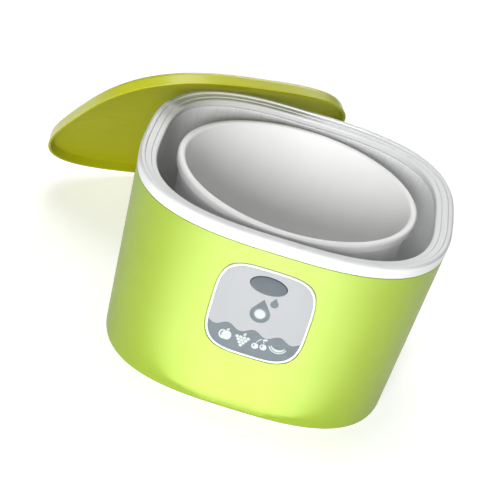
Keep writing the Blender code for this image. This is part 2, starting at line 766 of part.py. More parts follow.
def screws(name, radius, head_radius, length, places):
    """Pan-head screws that point up, with the head below the zero of each place."""
    screw = turned("screw", [
        (0.0, length),
        (radius, length),
        (radius, 0.0),
        (head_radius, 0.0),
        (head_radius, -0.6 * SCREW_HEAD),
        (0.6 * head_radius, -SCREW_HEAD),
        (0.0, -SCREW_HEAD)])
    copies(name, plastic(screw, STEEL, 0.35, 1.0), places)


def raised(points, height):
    """Translations to points of the plan at a height."""
    return [Matrix.Translation((x, y, height)) for x, y in points]


def base_screws():
    """Screws from below, through the base cover into the housing's bosses."""
    screws("base_screw", BASE_SCREW_RADIUS, BASE_SCREW_HEAD_RADIUS, 9.0 * MM,
           raised(corners(BASE_SCREW_PLACE, BASE_SCREW_PLACE), BASE_SCREW_SEAT - GAP))


def liner_screws():
    """Screws from below, through the liner's flange into the rim ring."""
    under_flange = RING_UNDERSIDE - GAP - LINER_FLANGE_THICKNESS
    screws("liner_screw", SCREW_RADIUS, 1.8 * MM, 4.6 * MM,
           raised(side_places(LINER_SCREW_PLACE), under_flange - GAP))


# ---------------------------------------------------------------- control panel

def panel_bezel():
    """White frame in the housing's recess, with a ledge for the faceplate."""
    bezel = turned("panel_bezel", [
        (PANEL_HALF, BEZEL_FRONT),
        (PANEL_HALF, BEZEL_LEDGE_BACK),
        (BEZEL_SKIRT_OUTER, BEZEL_LEDGE_BACK),
        (BEZEL_SKIRT_OUTER, BEZEL_SKIRT_BACK),
        (BEZEL_SKIRT_INNER, BEZEL_SKIRT_BACK),
        (BEZEL_SKIRT_INNER, BEZEL_LEDGE_FRONT),
        (BEZEL_INNER, BEZEL_LEDGE_FRONT),
        (BEZEL_INNER, BEZEL_FRONT)], PANEL_STEPS, panel_plan)
    return plastic(bend_to_wall(bezel), WHITE, 0.25)


def panel_faceplate():
    """Grey faceplate with the button's opening and the lens's hole."""
    button_hole = superellipse(BUTTON_LONG + GAP, BUTTON_SHORT + GAP, 2.0, 32)
    lens_hole = superellipse(LENS_RADIUS + GAP, LENS_RADIUS + GAP, 2.0, 20)
    face = plate("panel_faceplate", [
        panel_outline(BEZEL_INNER - GAP),
        shifted(button_hole, 0.0, BUTTON_PLACE),
        shifted(lens_hole, 0.0, LENS_PLACE)], FACE_BACK, FACE_FRONT)
    return plastic(bend_to_wall(face), PANEL_GREY, 0.35)


def power_button():
    """Oval push button with a flange behind the faceplate and a stem to the switch."""
    flange = BUTTON_LONG + 0.8 * MM
    flange_front = FACE_BACK - GAP
    flange_back = flange_front - 0.8 * MM
    stem_end = -2.95 * MM
    button = turned("power_button", [
        (0.0, 0.8 * MM),
        (6.0 * MM, 0.75 * MM),
        (9.4 * MM, 0.55 * MM),
        (BUTTON_LONG, 0.1 * MM),
        (BUTTON_LONG, flange_front),
        (flange, flange_front),
        (flange, flange_back),
        (BUTTON_STEM, flange_back),
        (BUTTON_STEM, stem_end),
        (0.0, stem_end)], 32, button_plan)
    button.matrix_world = panel_matrix(0.0, BUTTON_PLACE)
    return plastic(button, SLATE, 0.3)


def indicator_lens():
    """Small round lens over the status lamp."""
    flange = LENS_RADIUS + 0.9 * MM
    flange_front = FACE_BACK - GAP
    flange_back = flange_front - 0.5 * MM
    lens = turned("indicator_lens", [
        (0.0, 0.35 * MM),
        (0.7 * LENS_RADIUS, 0.28 * MM),
        (LENS_RADIUS, 0.0),
        (LENS_RADIUS, flange_front),
        (flange, flange_front),
        (flange, flange_back),
        (2.0 * MM, flange_back),
        (2.0 * MM, -2.2 * MM),
        (0.0, -2.2 * MM)], 20)
    lens.matrix_world = panel_matrix(0.0, LENS_PLACE)
    return plastic(lens, (0.80, 0.82, 0.84), 0.15)


def control_pcb():
    """Board behind the panel, on the housing's posts."""
    hole = superellipse(PILOT_RADIUS, PILOT_RADIUS, 2.0, SMALL_STEPS)
    holes = [shifted(hole, x, y) for x, y in corners(POST_ACROSS, POST_UP)]
    edge = corners(BOARD_HALF_WIDTH, BOARD_HALF_HEIGHT)
    board = plate("control_pcb", [edge] + holes, BOARD_FRONT - BOARD_THICKNESS, BOARD_FRONT)
    board.matrix_world = panel_matrix()
    return plastic(board, BOARD_GREEN, 0.5)


def control_pcb_screws():
    """Screws that hold the control board to the housing's posts."""
    height = BOARD_FRONT - BOARD_THICKNESS - GAP
    places = [panel_matrix(x, y) @ Matrix.Translation((0.0, 0.0, height))
              for x, y in corners(POST_ACROSS, POST_UP)]
    screws("control_board_screw", SCREW_RADIUS, SCREW_HEAD_RADIUS, 3.4 * MM, places)


def tact_switch():
    """Push switch on the control board, under the button's stem."""
    bottom = BOARD_FRONT + GAP
    switch = box("tact_switch", (-3.0 * MM, -3.0 * MM, bottom), (3.0 * MM, 3.0 * MM, -4.1 * MM))
    switch.data.transform(Matrix.Translation(switch.location))
    switch.location = (0.0, 0.0, 0.0)
    plunger = cylinder("switch_plunger", 1.7 * MM, -4.5 * MM, -3.9 * MM, collection=CUTTERS)
    place = panel_matrix(0.0, BUTTON_PLACE)
    plunger.matrix_world = place @ plunger.matrix_basis
    switch.matrix_world = place
    boolean(switch, plunger, "UNION")
    return plastic(switch, BLACK_PLASTIC, 0.5)


def status_led():
    """Lamp on the control board, behind the lens."""
    bottom = BOARD_FRONT + GAP
    led = turned("status_led", [
        (0.0, -2.5 * MM),
        (1.0 * MM, -2.65 * MM),
        (1.5 * MM, -3.2 * MM),
        (1.5 * MM, -4.4 * MM),
        (1.9 * MM, -4.4 * MM),
        (1.9 * MM, bottom),
        (0.0, bottom)])
    led.matrix_world = panel_matrix(0.0, LENS_PLACE)
    return plastic(led, (0.75, 0.15, 0.05), 0.2)


def control_chip():
    """Controller chip on the control board."""
    bottom = BOARD_FRONT + GAP
    chip = box("control_chip", (-5.0 * MM, -3.0 * MM, bottom), (5.0 * MM, 3.0 * MM, bottom + 1.4 * MM))
    chip.data.transform(Matrix.Translation(chip.location))
    chip.matrix_world = panel_matrix(-13.0 * MM, -12.0 * MM)
    return plastic(chip, BLACK_PLASTIC, 0.6)


# ---------------------------------------------------------------- heater

def heater_levels():
    """Heights of the stack that hangs under the liner, from the top down."""
    plate_top = LINER_FLOOR - LINER_WALL - GAP
    mica_top = plate_top - HEATER_THICKNESS - GAP
    felt_top = mica_top - MICA_THICKNESS - GAP
    clamp_top = felt_top - FELT_THICKNESS - GAP
    return {"plate_top": plate_top, "mica_top": mica_top,
            "felt_top": felt_top, "clamp_top": clamp_top}


def disc(name, radius, thickness, top, colour, roughness, metallic=0.0):
    """Round disc about the axis."""
    profile = [(0.0, top), (radius, top), (radius, top - thickness), (0.0, top - thickness)]
    return plastic(turned(name, profile, 32), colour, roughness, metallic)


def heater_stack():
    """Heat spreader, mica heater and felt pad, held up by a clamp bar and two screws."""
    levels = heater_levels()
    disc("heater_plate", HEATER_RADIUS, HEATER_THICKNESS, levels["plate_top"],
         (0.75, 0.75, 0.76), 0.4, 1.0)
    disc("mica_heater", MICA_RADIUS, MICA_THICKNESS, levels["mica_top"], (0.55, 0.45, 0.30), 0.6)
    disc("insulation_disc", FELT_RADIUS, FELT_THICKNESS, levels["felt_top"], (0.80, 0.78, 0.70), 0.9)
    hole = superellipse(PILOT_RADIUS, PILOT_RADIUS, 2.0, SMALL_STEPS)
    edge = superellipse(CLAMP_HALF_LENGTH, CLAMP_HALF_WIDTH, 6.0, 24)
    bar = plate("heater_clamp_bar", [edge, shifted(hole, CLAMP_PLACE, 0.0),
                                     shifted(hole, -CLAMP_PLACE, 0.0)],
                levels["clamp_top"] - CLAMP_THICKNESS, levels["clamp_top"])
    plastic(bar, STEEL, 0.4, 1.0)
    places = raised([(CLAMP_PLACE, 0.0), (-CLAMP_PLACE, 0.0)],
                    levels["clamp_top"] - CLAMP_THICKNESS - GAP)
    screws("clamp_screw", SCREW_RADIUS, SCREW_HEAD_RADIUS, 5.5 * MM, places)


def temperature_sensor():
    """Sensor that touches the liner's underside beside the heater."""
    top = LINER_FLOOR - LINER_WALL - GAP
    sensor = turned("temperature_sensor", [
        (0.0, top),
        (2.4 * MM, top),
        (2.4 * MM, top - 3.6 * MM),
        (1.4 * MM, top - 4.6 * MM),
        (0.0, top - 4.6 * MM)])
    sensor.location = (25.0 * MM, -41.0 * MM, 0.0)
    return plastic(sensor, STEEL, 0.3, 1.0)


def thermal_fuse():
    """Thermal fuse with stiff leads, lying beside the heater."""
    fuse = turned("thermal_fuse", [
        (0.0, 13.0 * MM),
        (0.5 * MM, 13.0 * MM),
        (0.5 * MM, 5.5 * MM),
        (1.8 * MM, 4.5 * MM),
        (1.8 * MM, -4.5 * MM),
        (0.5 * MM, -5.5 * MM),
        (0.5 * MM, -13.0 * MM),
        (0.0, -13.0 * MM)])
    fuse.matrix_world = (Matrix.Translation((0.0, -44.0 * MM, 17.5 * MM))
                         @ Matrix.Rotation(math.pi / 2.0, 4, "Y"))
    return plastic(fuse, (0.85, 0.83, 0.78), 0.4)


# ---------------------------------------------------------------- power side

def power_posts():
    """Where the power board is screwed to the base cover."""
    return shifted(corners(POWER_POST_ACROSS, POWER_POST_DEEP), 0.0, POWER_BOARD_Y)


def power_board():
    """Power board with its relay, capacitor and terminal block."""
    half_x, half_y = POWER_BOARD_HALF
    hole = superellipse(PILOT_RADIUS, PILOT_RADIUS, 2.0, SMALL_STEPS)
    edge = shifted(corners(half_x, half_y), 0.0, POWER_BOARD_Y)
    top = POWER_BOARD_BOTTOM + BOARD_THICKNESS
    board = plate("power_pcb", [edge] + [shifted(hole, x, y) for x, y in power_posts()],
                  POWER_BOARD_BOTTOM, top)
    plastic(board, BOARD_GREEN, 0.5)
    flip = Matrix.Rotation(math.pi, 4, "X")
    screws("power_board_screw", SCREW_RADIUS, SCREW_HEAD_RADIUS, 4.4 * MM,
           [place @ flip for place in raised(power_posts(), top + GAP)])
    seat = top + GAP
    on_board = (("relay", (-26.0, 45.0), (-10.0, 56.0), 10.5, (0.05, 0.12, 0.30)),
                ("filter_capacitor", (-6.0, 47.0), (7.0, 53.0), 9.5, (0.65, 0.55, 0.10)),
                ("terminal_block", (12.0, 47.0), (27.0, 56.0), 8.5, (0.10, 0.35, 0.15)))
    for name, low, high, height, colour in on_board:
        piece = box(name, (low[0] * MM, low[1] * MM, seat),
                    (high[0] * MM, high[1] * MM, seat + height * MM))
        plastic(rounded(piece, 0.6 * MM), colour, 0.45)


def power_inlet():
    """Two-pin mains inlet in the back wall: a flanged socket and its pins."""
    low_z = INLET_HEIGHT - INLET_HALF[1]
    high_z = INLET_HEIGHT + INLET_HALF[1]
    inlet = box("power_inlet", (-INLET_HALF[0], INLET_BACK, low_z),
                (INLET_HALF[0], INLET_FLANGE_FRONT - 0.5 * MM, high_z))
    upright = Matrix.Rotation(math.pi / 2.0, 4, "X")
    centre = Matrix.Translation((0.0, 0.0, INLET_HEIGHT))
    flange = plate("inlet_flange", [superellipse(*INLET_FLANGE_HALF, 4.0, 32)],
                   -INLET_FLANGE_FRONT, -INLET_FLANGE_BACK, CUTTERS)
    flange.matrix_world = centre @ upright
    boolean(inlet, flange, "UNION")
    socket = plate("inlet_socket", [superellipse(*INLET_SOCKET_HALF, 3.0, 24)],
                   -INLET_FLANGE_FRONT - OVERCUT, -INLET_SOCKET_BACK, CUTTERS)
    socket.matrix_world = centre @ upright
    boolean(inlet, socket, "DIFFERENCE")
    pin_places = [Matrix.Translation((x, 0.0, 0.0)) for x in (-PIN_SPACING, PIN_SPACING)]
    holes = repeated("pin_holes",
                     cylinder("hole", PIN_RADIUS + GAP, -INLET_SOCKET_BACK - OVERCUT,
                              -INLET_BACK + OVERCUT, collection=CUTTERS), pin_places)
    holes.matrix_world = centre @ upright
    boolean(inlet, holes, "DIFFERENCE")
    plastic(inlet, BLACK_PLASTIC, 0.45)
    pin = turned("pin", [
        (0.0, -66.0 * MM),
        (PIN_RADIUS, -66.0 * MM),
        (PIN_RADIUS, -84.0 * MM),
        (0.7 * PIN_RADIUS, -84.8 * MM),
        (0.0, -84.8 * MM)])
    copies("inlet_pin", plastic(pin, STEEL, 0.3, 1.0),
           [centre @ upright @ place for place in pin_places])


def wires():
    """Wires between the inlet, the boards, the heater, the fuse and the sensor."""
    wire("mains_wire_1", [
        (4.3, 65.4, 11.5), (4.6, 64.4, 11.6), (6.8, 62.6, 12.4), (11.0, 61.2, 13.0), (15.0, 58.8, 13.2),
        (16.5, 56.5, 13.2)], MAINS_WIRE, (0.35, 0.16, 0.05))
    wire("mains_wire_2", [
        (-4.3, 65.4, 11.5), (-4.0, 64.4, 11.3), (-1.5, 62.0, 10.2), (5.0, 60.2, 10.0), (15.0, 60.2, 10.0),
        (21.0, 59.0, 10.2), (22.5, 56.5, 10.4)], MAINS_WIRE, (0.05, 0.16, 0.50))
    wire("heater_wire_1", [
        (17.0, 30.0, 18.2), (18.2, 36.0, 18.2), (18.8, 41.0, 16.2), (18.0, 46.6, 13.5)],
        HEATER_WIRE, (0.75, 0.75, 0.70))
    wire("heater_wire_2", [
        (21.0, 27.6, 18.2), (23.0, 34.0, 18.2), (24.2, 41.0, 16.2), (23.5, 46.6, 13.5)],
        HEATER_WIRE, (0.75, 0.75, 0.70))
    wire("fuse_wire", [
        (13.4, -44.0, 17.5), (22.0, -48.0, 16.0), (40.0, -42.0, 13.0), (53.0, -20.0, 11.5),
        (54.0, 12.0, 11.5), (46.0, 36.0, 11.8), (36.0, 48.0, 12.2), (27.4, 51.0, 12.2)],
        MAINS_WIRE, (0.75, 0.12, 0.08))
    up_to_board = [(25.5, -81.4, 24.0), (25.5, -82.0, 31.0), (25.5, -82.4, 36.6)]
    wire("sensor_wire", [
        (25.0, -43.8, 18.0), (25.2, -52.0, 17.0), (25.5, -66.0, 16.0), (25.5, -77.0, 17.5)]
        + up_to_board, SENSOR_WIRE, BLACK_PLASTIC)
    wire("panel_wire", [
        (-30.0, 50.0, 8.8), (-38.0, 46.0, 10.5), (-50.0, 30.0, 10.5), (-54.0, 0.0, 10.5),
        (-50.0, -32.0, 11.0), (-36.0, -62.0, 13.0), (-27.0, -77.0, 17.0)]
        + [(-x, y, z) for x, y, z in up_to_board], MAINS_WIRE, (0.45, 0.45, 0.45))


def build():
    """Make every piece of the yogurt maker."""
    outer_housing()
    rim_ring()
    cavity_liner()
    inner_container()
    outer_lid()
    base_cover()
    rubber_feet()
    base_screws()
    liner_screws()
    panel_bezel()
    panel_faceplate()
    power_button()
    indicator_lens()
    control_pcb()
    control_pcb_screws()
    tact_switch()
    status_led()
    control_chip()
    heater_stack()
    temperature_sensor()
    thermal_fuse()
    power_board()
    power_inlet()
    wires()


build()
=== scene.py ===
"""Yogurt maker: finished surfaces, materials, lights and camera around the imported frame.

Metres, +Z up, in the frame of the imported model. The front panel faces -Y.
"""
import json
import math

import bmesh
import bpy
from mathutils import Euler, Matrix, Vector


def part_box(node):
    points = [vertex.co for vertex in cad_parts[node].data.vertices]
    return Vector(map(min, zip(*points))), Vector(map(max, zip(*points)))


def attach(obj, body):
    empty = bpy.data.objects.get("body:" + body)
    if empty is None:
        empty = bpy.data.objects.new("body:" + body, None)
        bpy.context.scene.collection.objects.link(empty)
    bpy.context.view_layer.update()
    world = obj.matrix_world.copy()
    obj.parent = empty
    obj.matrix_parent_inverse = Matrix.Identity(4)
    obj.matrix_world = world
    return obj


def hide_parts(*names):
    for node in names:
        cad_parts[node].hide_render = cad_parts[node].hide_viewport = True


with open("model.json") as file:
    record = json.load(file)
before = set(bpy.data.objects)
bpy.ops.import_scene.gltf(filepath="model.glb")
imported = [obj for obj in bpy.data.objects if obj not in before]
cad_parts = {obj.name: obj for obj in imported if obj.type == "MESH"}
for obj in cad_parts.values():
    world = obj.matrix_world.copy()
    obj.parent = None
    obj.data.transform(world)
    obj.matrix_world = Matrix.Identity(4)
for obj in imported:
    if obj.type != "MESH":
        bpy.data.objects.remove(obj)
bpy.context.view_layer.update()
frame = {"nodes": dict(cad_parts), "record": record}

MM = 0.001
GAP = 0.3 * MM                       # gap between neighbouring pieces
SEAM = 0.12 * MM                     # visible gap round the panel's own pieces
ROUND_STEPS = 192                    # steps round the big shells
ARC_STEPS = 5                        # steps of a rounded profile corner
SUPPORT = 0.15 * MM                  # distance of the loop that keeps a flat beside a fillet flat

BODY = "base_unit"
LID = "lid"
CONTAINER = "container"
BUTTON = "button"

# Sizes that come from the frame
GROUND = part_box("rubber_foot_1")[0][2]
HALF_WIDTH_TOP = 92.0 * MM
HALF_WIDTH_BASE = 85.0 * MM
BODY_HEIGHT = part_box("rim_ring")[1][2]
CORNER_EXTRA = 10.0 * MM
CORNER_BLEND = 75.0 * MM
TAPER = math.atan2(HALF_WIDTH_TOP - HALF_WIDTH_BASE, BODY_HEIGHT)
WALL = 2.6 * MM


# ---------------------------------------------------------------- plan and panel place

def body_half_width(height):
    """Half width of the body's outer wall at a height."""
    return HALF_WIDTH_BASE + (HALF_WIDTH_TOP - HALF_WIDTH_BASE) * height / BODY_HEIGHT


def plan_power(radius):
    """Exponent of the rounded-square plan at a nominal radius."""
    reach = 1.0 + CORNER_EXTRA / max(radius, CORNER_BLEND)
    return 1.0 / (0.5 - math.log2(reach))


def round_plan(radius, angle):
    """Point of a plain circle."""
    return radius * math.cos(angle), radius * math.sin(angle)


def body_plan(radius, angle):
    """Point of the body's rounded-square plan."""
    power = plan_power(radius)
    cosine = math.cos(angle)
    sine = math.sin(angle)
    length = radius / (abs(cosine) ** power + abs(sine) ** power) ** (1.0 / power)
    return length * cosine, length * sine


PANEL_HEIGHT = 66.7 * MM
PANEL_HALF = 27.9 * MM
PANEL_ASPECT = 1.045                 # height over width
PANEL_POWER = 3.8
BEZEL_INNER = 26.5 * MM
FACE_FRONT = 0.2 * MM
FACE_BACK = -0.4 * MM
BUTTON_PLACE = 19.0 * MM
BUTTON_LONG = 10.4 * MM
BUTTON_SHORT = 5.6 * MM
BUTTON_STEM = 2.2 * MM
LENS_PLACE = 0.4 * MM
LENS_RADIUS = 3.1 * MM
BEND_STRIP = 3.5 * MM


def panel_plan(radius, angle):
    """Point of the panel's rounded outline."""
    cosine = math.cos(angle)
    sine = math.sin(angle)
    total = abs(cosine) ** PANEL_POWER + abs(sine) ** PANEL_POWER
    length = radius / total ** (1.0 / PANEL_POWER)
    return length * cosine, PANEL_ASPECT * length * sine


def button_plan(radius, angle):
    """Oval outline that is round near the button's stem."""
    part_way = (radius - BUTTON_STEM) / (BUTTON_LONG - BUTTON_STEM)
    squash = (BUTTON_LONG - BUTTON_SHORT) * min(max(part_way, 0.0), 1.0)
    return radius * math.cos(angle), (radius - squash) * math.sin(angle)


def wall_sag(x):
    """How far the front wall falls back at a distance from its middle line."""
    half = body_half_width(PANEL_HEIGHT)
    power = plan_power(half)
    return half * (1.0 - (1.0 - (abs(x) / half) ** power) ** (1.0 / power))


def panel_matrix(up=0.0):
    """Place on the front wall: local X runs across, Y up the wall and Z outward."""
    centre = Matrix.Translation((0.0, -body_half_width(PANEL_HEIGHT), PANEL_HEIGHT))
    turn = Euler((math.pi / 2.0 + TAPER, 0.0, 0.0)).to_matrix().to_4x4()
    return centre @ turn @ Matrix.Translation((0.0, up, 0.0))


# ---------------------------------------------------------------- mesh helpers

def rounded_profile(corners, closed):
    """Points of a (radius, height) profile whose corners (radius, height, fillet) are rounded.

    Each fillet is an arc with one more point just beyond either end, so that the flat parts
    of a smooth-shaded surface stay flat.
    """
    points = []
    count = len(corners)
    for index, (x, y, fillet) in enumerate(corners):
        here = Vector((x, y))
        if fillet == 0.0 or (not closed and index in (0, count - 1)):
            points.append((x, y))
            continue
        before = Vector(corners[index - 1][:2])
        after = Vector(corners[(index + 1) % count][:2])
        back = before - here
        ahead = after - here
        half_angle = back.angle(ahead) / 2.0
        room = 0.49 * min(back.length, ahead.length)
        cut = min(fillet / math.tan(half_angle), room)
        radius = cut * math.tan(half_angle)
        start = here + back.normalized() * cut
        end = here + ahead.normalized() * cut
        centre = here + (back.normalized() + ahead.normalized()).normalized() * (
            radius / math.sin(half_angle))
        if back.length > 2.0 * cut + 4.0 * SUPPORT:
            points.append(tuple(start + back.normalized() * SUPPORT))
        for step in range(ARC_STEPS + 1):
            mix = start.lerp(end, step / ARC_STEPS) - centre
            if mix.length < 1e-9:
                mix = start - centre
            points.append(tuple(centre + mix.normalized() * radius))
        if ahead.length > 2.0 * cut + 4.0 * SUPPORT:
            points.append(tuple(end + ahead.normalized() * SUPPORT))
    return points


def turned(name, profile, steps=ROUND_STEPS, plan=round_plan, smooth_angle=50.0):
    """Closed surface turned about Z from (radius, height) points, pushed out to a plan.

    The profile runs down the outer side and back up the inner side. It closes on itself,
    unless its two ends are on the axis.
    """
    on_axis = profile[0][0] == 0.0
    shape = bmesh.new()
    rings = []
    for radius, height in profile:
        if radius == 0.0:
            rings.append([shape.verts.new((0.0, 0.0, height))])
            continue
        ring = []
        for step in range(steps):
            x, y = plan(radius, 2.0 * math.pi * step / steps)
            ring.append(shape.verts.new((x, y, height)))
        rings.append(ring)
    pairs = list(zip(rings, rings[1:]))
    if not on_axis:
        pairs.append((rings[-1], rings[0]))
    for upper, lower in pairs:
        for step in range(steps):
            nxt = (step + 1) % steps
            if len(upper) == 1:
                shape.faces.new((upper[0], lower[step], lower[nxt]))
            elif len(lower) == 1:
                shape.faces.new((upper[step], lower[0], upper[nxt]))
            else:
                shape.faces.new((upper[step], lower[step], lower[nxt], upper[nxt]))
    return finished(name, shape, smooth_angle)


def finished(name, shape, smooth_angle=50.0):
    """Object from a bmesh, smooth-shaded except at edges sharper than the angle."""
    bmesh.ops.recalc_face_normals(shape, faces=shape.faces)
    mesh = bpy.data.meshes.new(name)
    shape.to_mesh(mesh)
    shape.free()
    mesh.shade_smooth()
    mesh.set_sharp_from_angle(angle=math.radians(smooth_angle))
    obj = bpy.data.objects.new(name, mesh)
    bpy.context.scene.collection.objects.link(obj)
    return obj


def solid_from_outlines(name, outlines, bottom, top):
    """Flat plate between two heights; the first outline is its edge, the others its holes."""
    curve = bpy.data.curves.new(name, "CURVE")
    curve.dimensions = "2D"
    curve.fill_mode = "BOTH"
    curve.extrude = (top - bottom) / 2.0
    for outline in outlines:
        spline = curve.splines.new("POLY")
        spline.points.add(len(outline) - 1)
        for point, (x, y) in zip(spline.points, outline):
            point.co = (x, y, 0.0, 1.0)
        spline.use_cyclic_u = True
    obj = bpy.data.objects.new(name, curve)
    bpy.context.scene.collection.objects.link(obj)
    bpy.context.view_layer.update()
    graph = bpy.context.evaluated_depsgraph_get()
    mesh = bpy.data.meshes.new_from_object(obj.evaluated_get(graph))
    bpy.data.objects.remove(obj, do_unlink=True)
    shape = bmesh.new()
    shape.from_mesh(mesh)
    bmesh.ops.remove_doubles(shape, verts=shape.verts, dist=0.0005 * MM)
    bmesh.ops.translate(shape, verts=shape.verts, vec=(0.0, 0.0, (top + bottom) / 2.0))
    return shape


def bent(shape):
    """Cut a flat panel shape into upright strips and bend them to the front wall."""
    reach = int(PANEL_HALF / BEND_STRIP) + 1
    for index in range(-reach, reach + 1):
        everything = shape.verts[:] + shape.edges[:] + shape.faces[:]
        bmesh.ops.bisect_plane(shape, geom=everything, dist=0.0002 * MM,
                               plane_co=(index * BEND_STRIP, 0.0, 0.0), plane_no=(1.0, 0.0, 0.0))
    for vertex in shape.verts:
        vertex.co.z -= wall_sag(vertex.co.x)
    return shape


def cut(obj, cutter, operation="DIFFERENCE"):
    """Boolean applied at once; the cutter goes."""
    modifier = obj.modifiers.new("cut", "BOOLEAN")
    modifier.operation = operation
    modifier.solver = "EXACT"
    modifier.object = cutter
    bpy.context.view_layer.update()
    graph = bpy.context.evaluated_depsgraph_get()
    mesh = bpy.data.meshes.new_from_object(obj.evaluated_get(graph))
    obj.modifiers.remove(modifier)
    old = obj.data
    obj.data = mesh
    bpy.data.meshes.remove(old)
    bpy.data.objects.remove(cutter, do_unlink=True)
    return obj


def smoothed(obj, angle):
    """Smooth shading again after cuts, except at edges sharper than the angle in degrees."""
    obj.data.shade_smooth()
    obj.data.set_sharp_from_angle(angle=math.radians(angle))


def placed(obj, matrix):
    """Move a piece's mesh to its place; the object itself stays at the origin."""
    obj.data.transform(matrix)
    return obj


def joined(name, pieces):
    """One object from several."""
    shape = bmesh.new()
    for piece in pieces:
        shape.from_mesh(piece.data)
        bpy.data.objects.remove(piece, do_unlink=True)
    mesh = bpy.data.meshes.new(name)
    shape.to_mesh(mesh)
    shape.free()
    obj = bpy.data.objects.new(name, mesh)
    bpy.context.scene.collection.objects.link(obj)
    return obj


def superellipse(half_x, half_y, power, steps, x=0.0, y=0.0):
    """Closed outline of a rounded rectangle about a point; a power of 2 is an ellipse."""
    outline = []
    for step in range(steps):
        angle = 2.0 * math.pi * step / steps
        cosine = math.cos(angle)
        sine = math.sin(angle)
        length = (abs(cosine) ** power + abs(sine) ** power) ** (-1.0 / power)
        outline.append((x + half_x * length * cosine, y + half_y * length * sine))
    return outline


def panel_outline(half_width, steps=160):
    """Closed outline of the panel's shape."""
    return superellipse(half_width, PANEL_ASPECT * half_width, PANEL_POWER, steps)


def install(obj, material, body, slot, *nodes):
    """Give a piece its material and its body, and hide the nodes that it stands for. The slot is not
    used.
    """
    obj.data.materials.clear()
    obj.data.materials.append(material)
    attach(obj, body)
    if nodes:
        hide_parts(*nodes)
    return obj


# ---------------------------------------------------------------- materials

def new_material(name, colour, roughness, metallic=0.0):
    """Principled material with its uniform values on the shader's own sockets."""
    material = bpy.data.materials.new(name)
    material.use_nodes = True
    shader = material.node_tree.nodes["Principled BSDF"]
    shader.inputs["Base Color"].default_value = (*colour, 1.0)
    shader.inputs["Roughness"].default_value = roughness
    shader.inputs["Metallic"].default_value = metallic
    return material, shader


def noise(tree, scale, detail=2.0, stretch=(1.0, 1.0, 1.0)):
    """Noise over the object's own coordinates; scale is in features per metre."""
    place = tree.nodes.new("ShaderNodeTexCoord")
    mapping = tree.nodes.new("ShaderNodeMapping")
    mapping.inputs["Scale"].default_value = stretch
    texture = tree.nodes.new("ShaderNodeTexNoise")
    texture.inputs["Scale"].default_value = scale
    texture.inputs["Detail"].default_value = detail
    tree.links.new(place.outputs["Object"], mapping.inputs["Vector"])
    tree.links.new(mapping.outputs["Vector"], texture.inputs["Vector"])
    return texture.outputs["Fac"]


def ramp(tree, factor, low, high, start=0.3, end=0.7):
    """Two-colour ramp of a factor."""
    node = tree.nodes.new("ShaderNodeValToRGB")
    node.color_ramp.elements[0].position = start
    node.color_ramp.elements[0].color = (*low, 1.0)
    node.color_ramp.elements[1].position = end
    node.color_ramp.elements[1].color = (*high, 1.0)
    tree.links.new(factor, node.inputs["Fac"])
    return node.outputs["Color"]


def spread(tree, factor, low, high):
    """Number that runs from low to high with a factor."""
    node = tree.nodes.new("ShaderNodeMapRange")
    node.inputs["From Min"].default_value = 0.3
    node.inputs["From Max"].default_value = 0.7
    node.inputs["To Min"].default_value = low
    node.inputs["To Max"].default_value = high
    tree.links.new(factor, node.inputs["Value"])
    return node.outputs["Result"]


def bumped(tree, shader, factor, depth):
    """Fine surface relief of a depth in metres."""
    node = tree.nodes.new("ShaderNodeBump")
    node.inputs["Strength"].default_value = 1.0
    node.inputs["Distance"].default_value = depth
    tree.links.new(factor, node.inputs["Height"])
    tree.links.new(node.outputs["Normal"], shader.inputs["Normal"])


def shade(colour, factor):
    """Colour made lighter or darker."""
    return tuple(min(channel * factor, 1.0) for channel in colour)


COAT_ROUGHNESS = 0.42


def moulded(name, colour, roughness, coat=0.0, grain=0.004, variation=0.03, cloudiness=35.0,
            gloss=0.5):
    """Moulded plastic: faint cloudiness, uneven gloss and a fine moulded grain.

    Grain is the relief's depth in millimetres, variation the share by which the colour
    clouds, and gloss the strength of the mirror-like part of the light.
    """
    material, shader = new_material(name, colour, roughness)
    tree = material.node_tree
    clouds = noise(tree, cloudiness, 3.0)
    tree.links.new(ramp(tree, clouds, shade(colour, 1.0 - variation), shade(colour, 1.0 + variation)),
                   shader.inputs["Base Color"])
    tree.links.new(spread(tree, noise(tree, 160.0, 4.0), 0.88 * roughness, 1.12 * roughness),
                   shader.inputs["Roughness"])
    bumped(tree, shader, noise(tree, 2200.0, 3.0), grain * MM)
    shader.inputs["Coat Weight"].default_value = coat
    shader.inputs["Coat Roughness"].default_value = COAT_ROUGHNESS
    shader.inputs["Specular IOR Level"].default_value = gloss
    return material


def satin_metal(name, colour, roughness, stretch=(1.0, 1.0, 1.0), depth=0.002, metallic=1.0):
    """Satin metal, with its lines along the axis that is stretched least."""
    material, shader = new_material(name, colour, roughness, metallic)
    tree = material.node_tree
    lines = noise(tree, 900.0, 4.0, stretch)
    tree.links.new(ramp(tree, lines, shade(colour, 0.93), shade(colour, 1.05)),
                   shader.inputs["Base Color"])
    tree.links.new(spread(tree, lines, 0.85 * roughness, 1.2 * roughness),
                   shader.inputs["Roughness"])
    bumped(tree, shader, lines, depth * MM)
    return material


def circuit_board(name):
    """Green solder mask with lighter tracks under it."""
    material, shader = new_material(name, (0.02, 0.16, 0.06), 0.35)
    tree = material.node_tree
    place = tree.nodes.new("ShaderNodeTexCoord")
    tracks = tree.nodes.new("ShaderNodeTexVoronoi")
    tracks.distance = "MANHATTAN"
    tracks.inputs["Scale"].default_value = 260.0
    tree.links.new(place.outputs["Object"], tracks.inputs["Vector"])
    tree.links.new(ramp(tree, tracks.outputs["Distance"], (0.03, 0.24, 0.09), (0.015, 0.13, 0.05),
                        0.45, 0.5), shader.inputs["Base Color"])
    bumped(tree, shader, tracks.outputs["Distance"], 0.01 * MM)
    return material


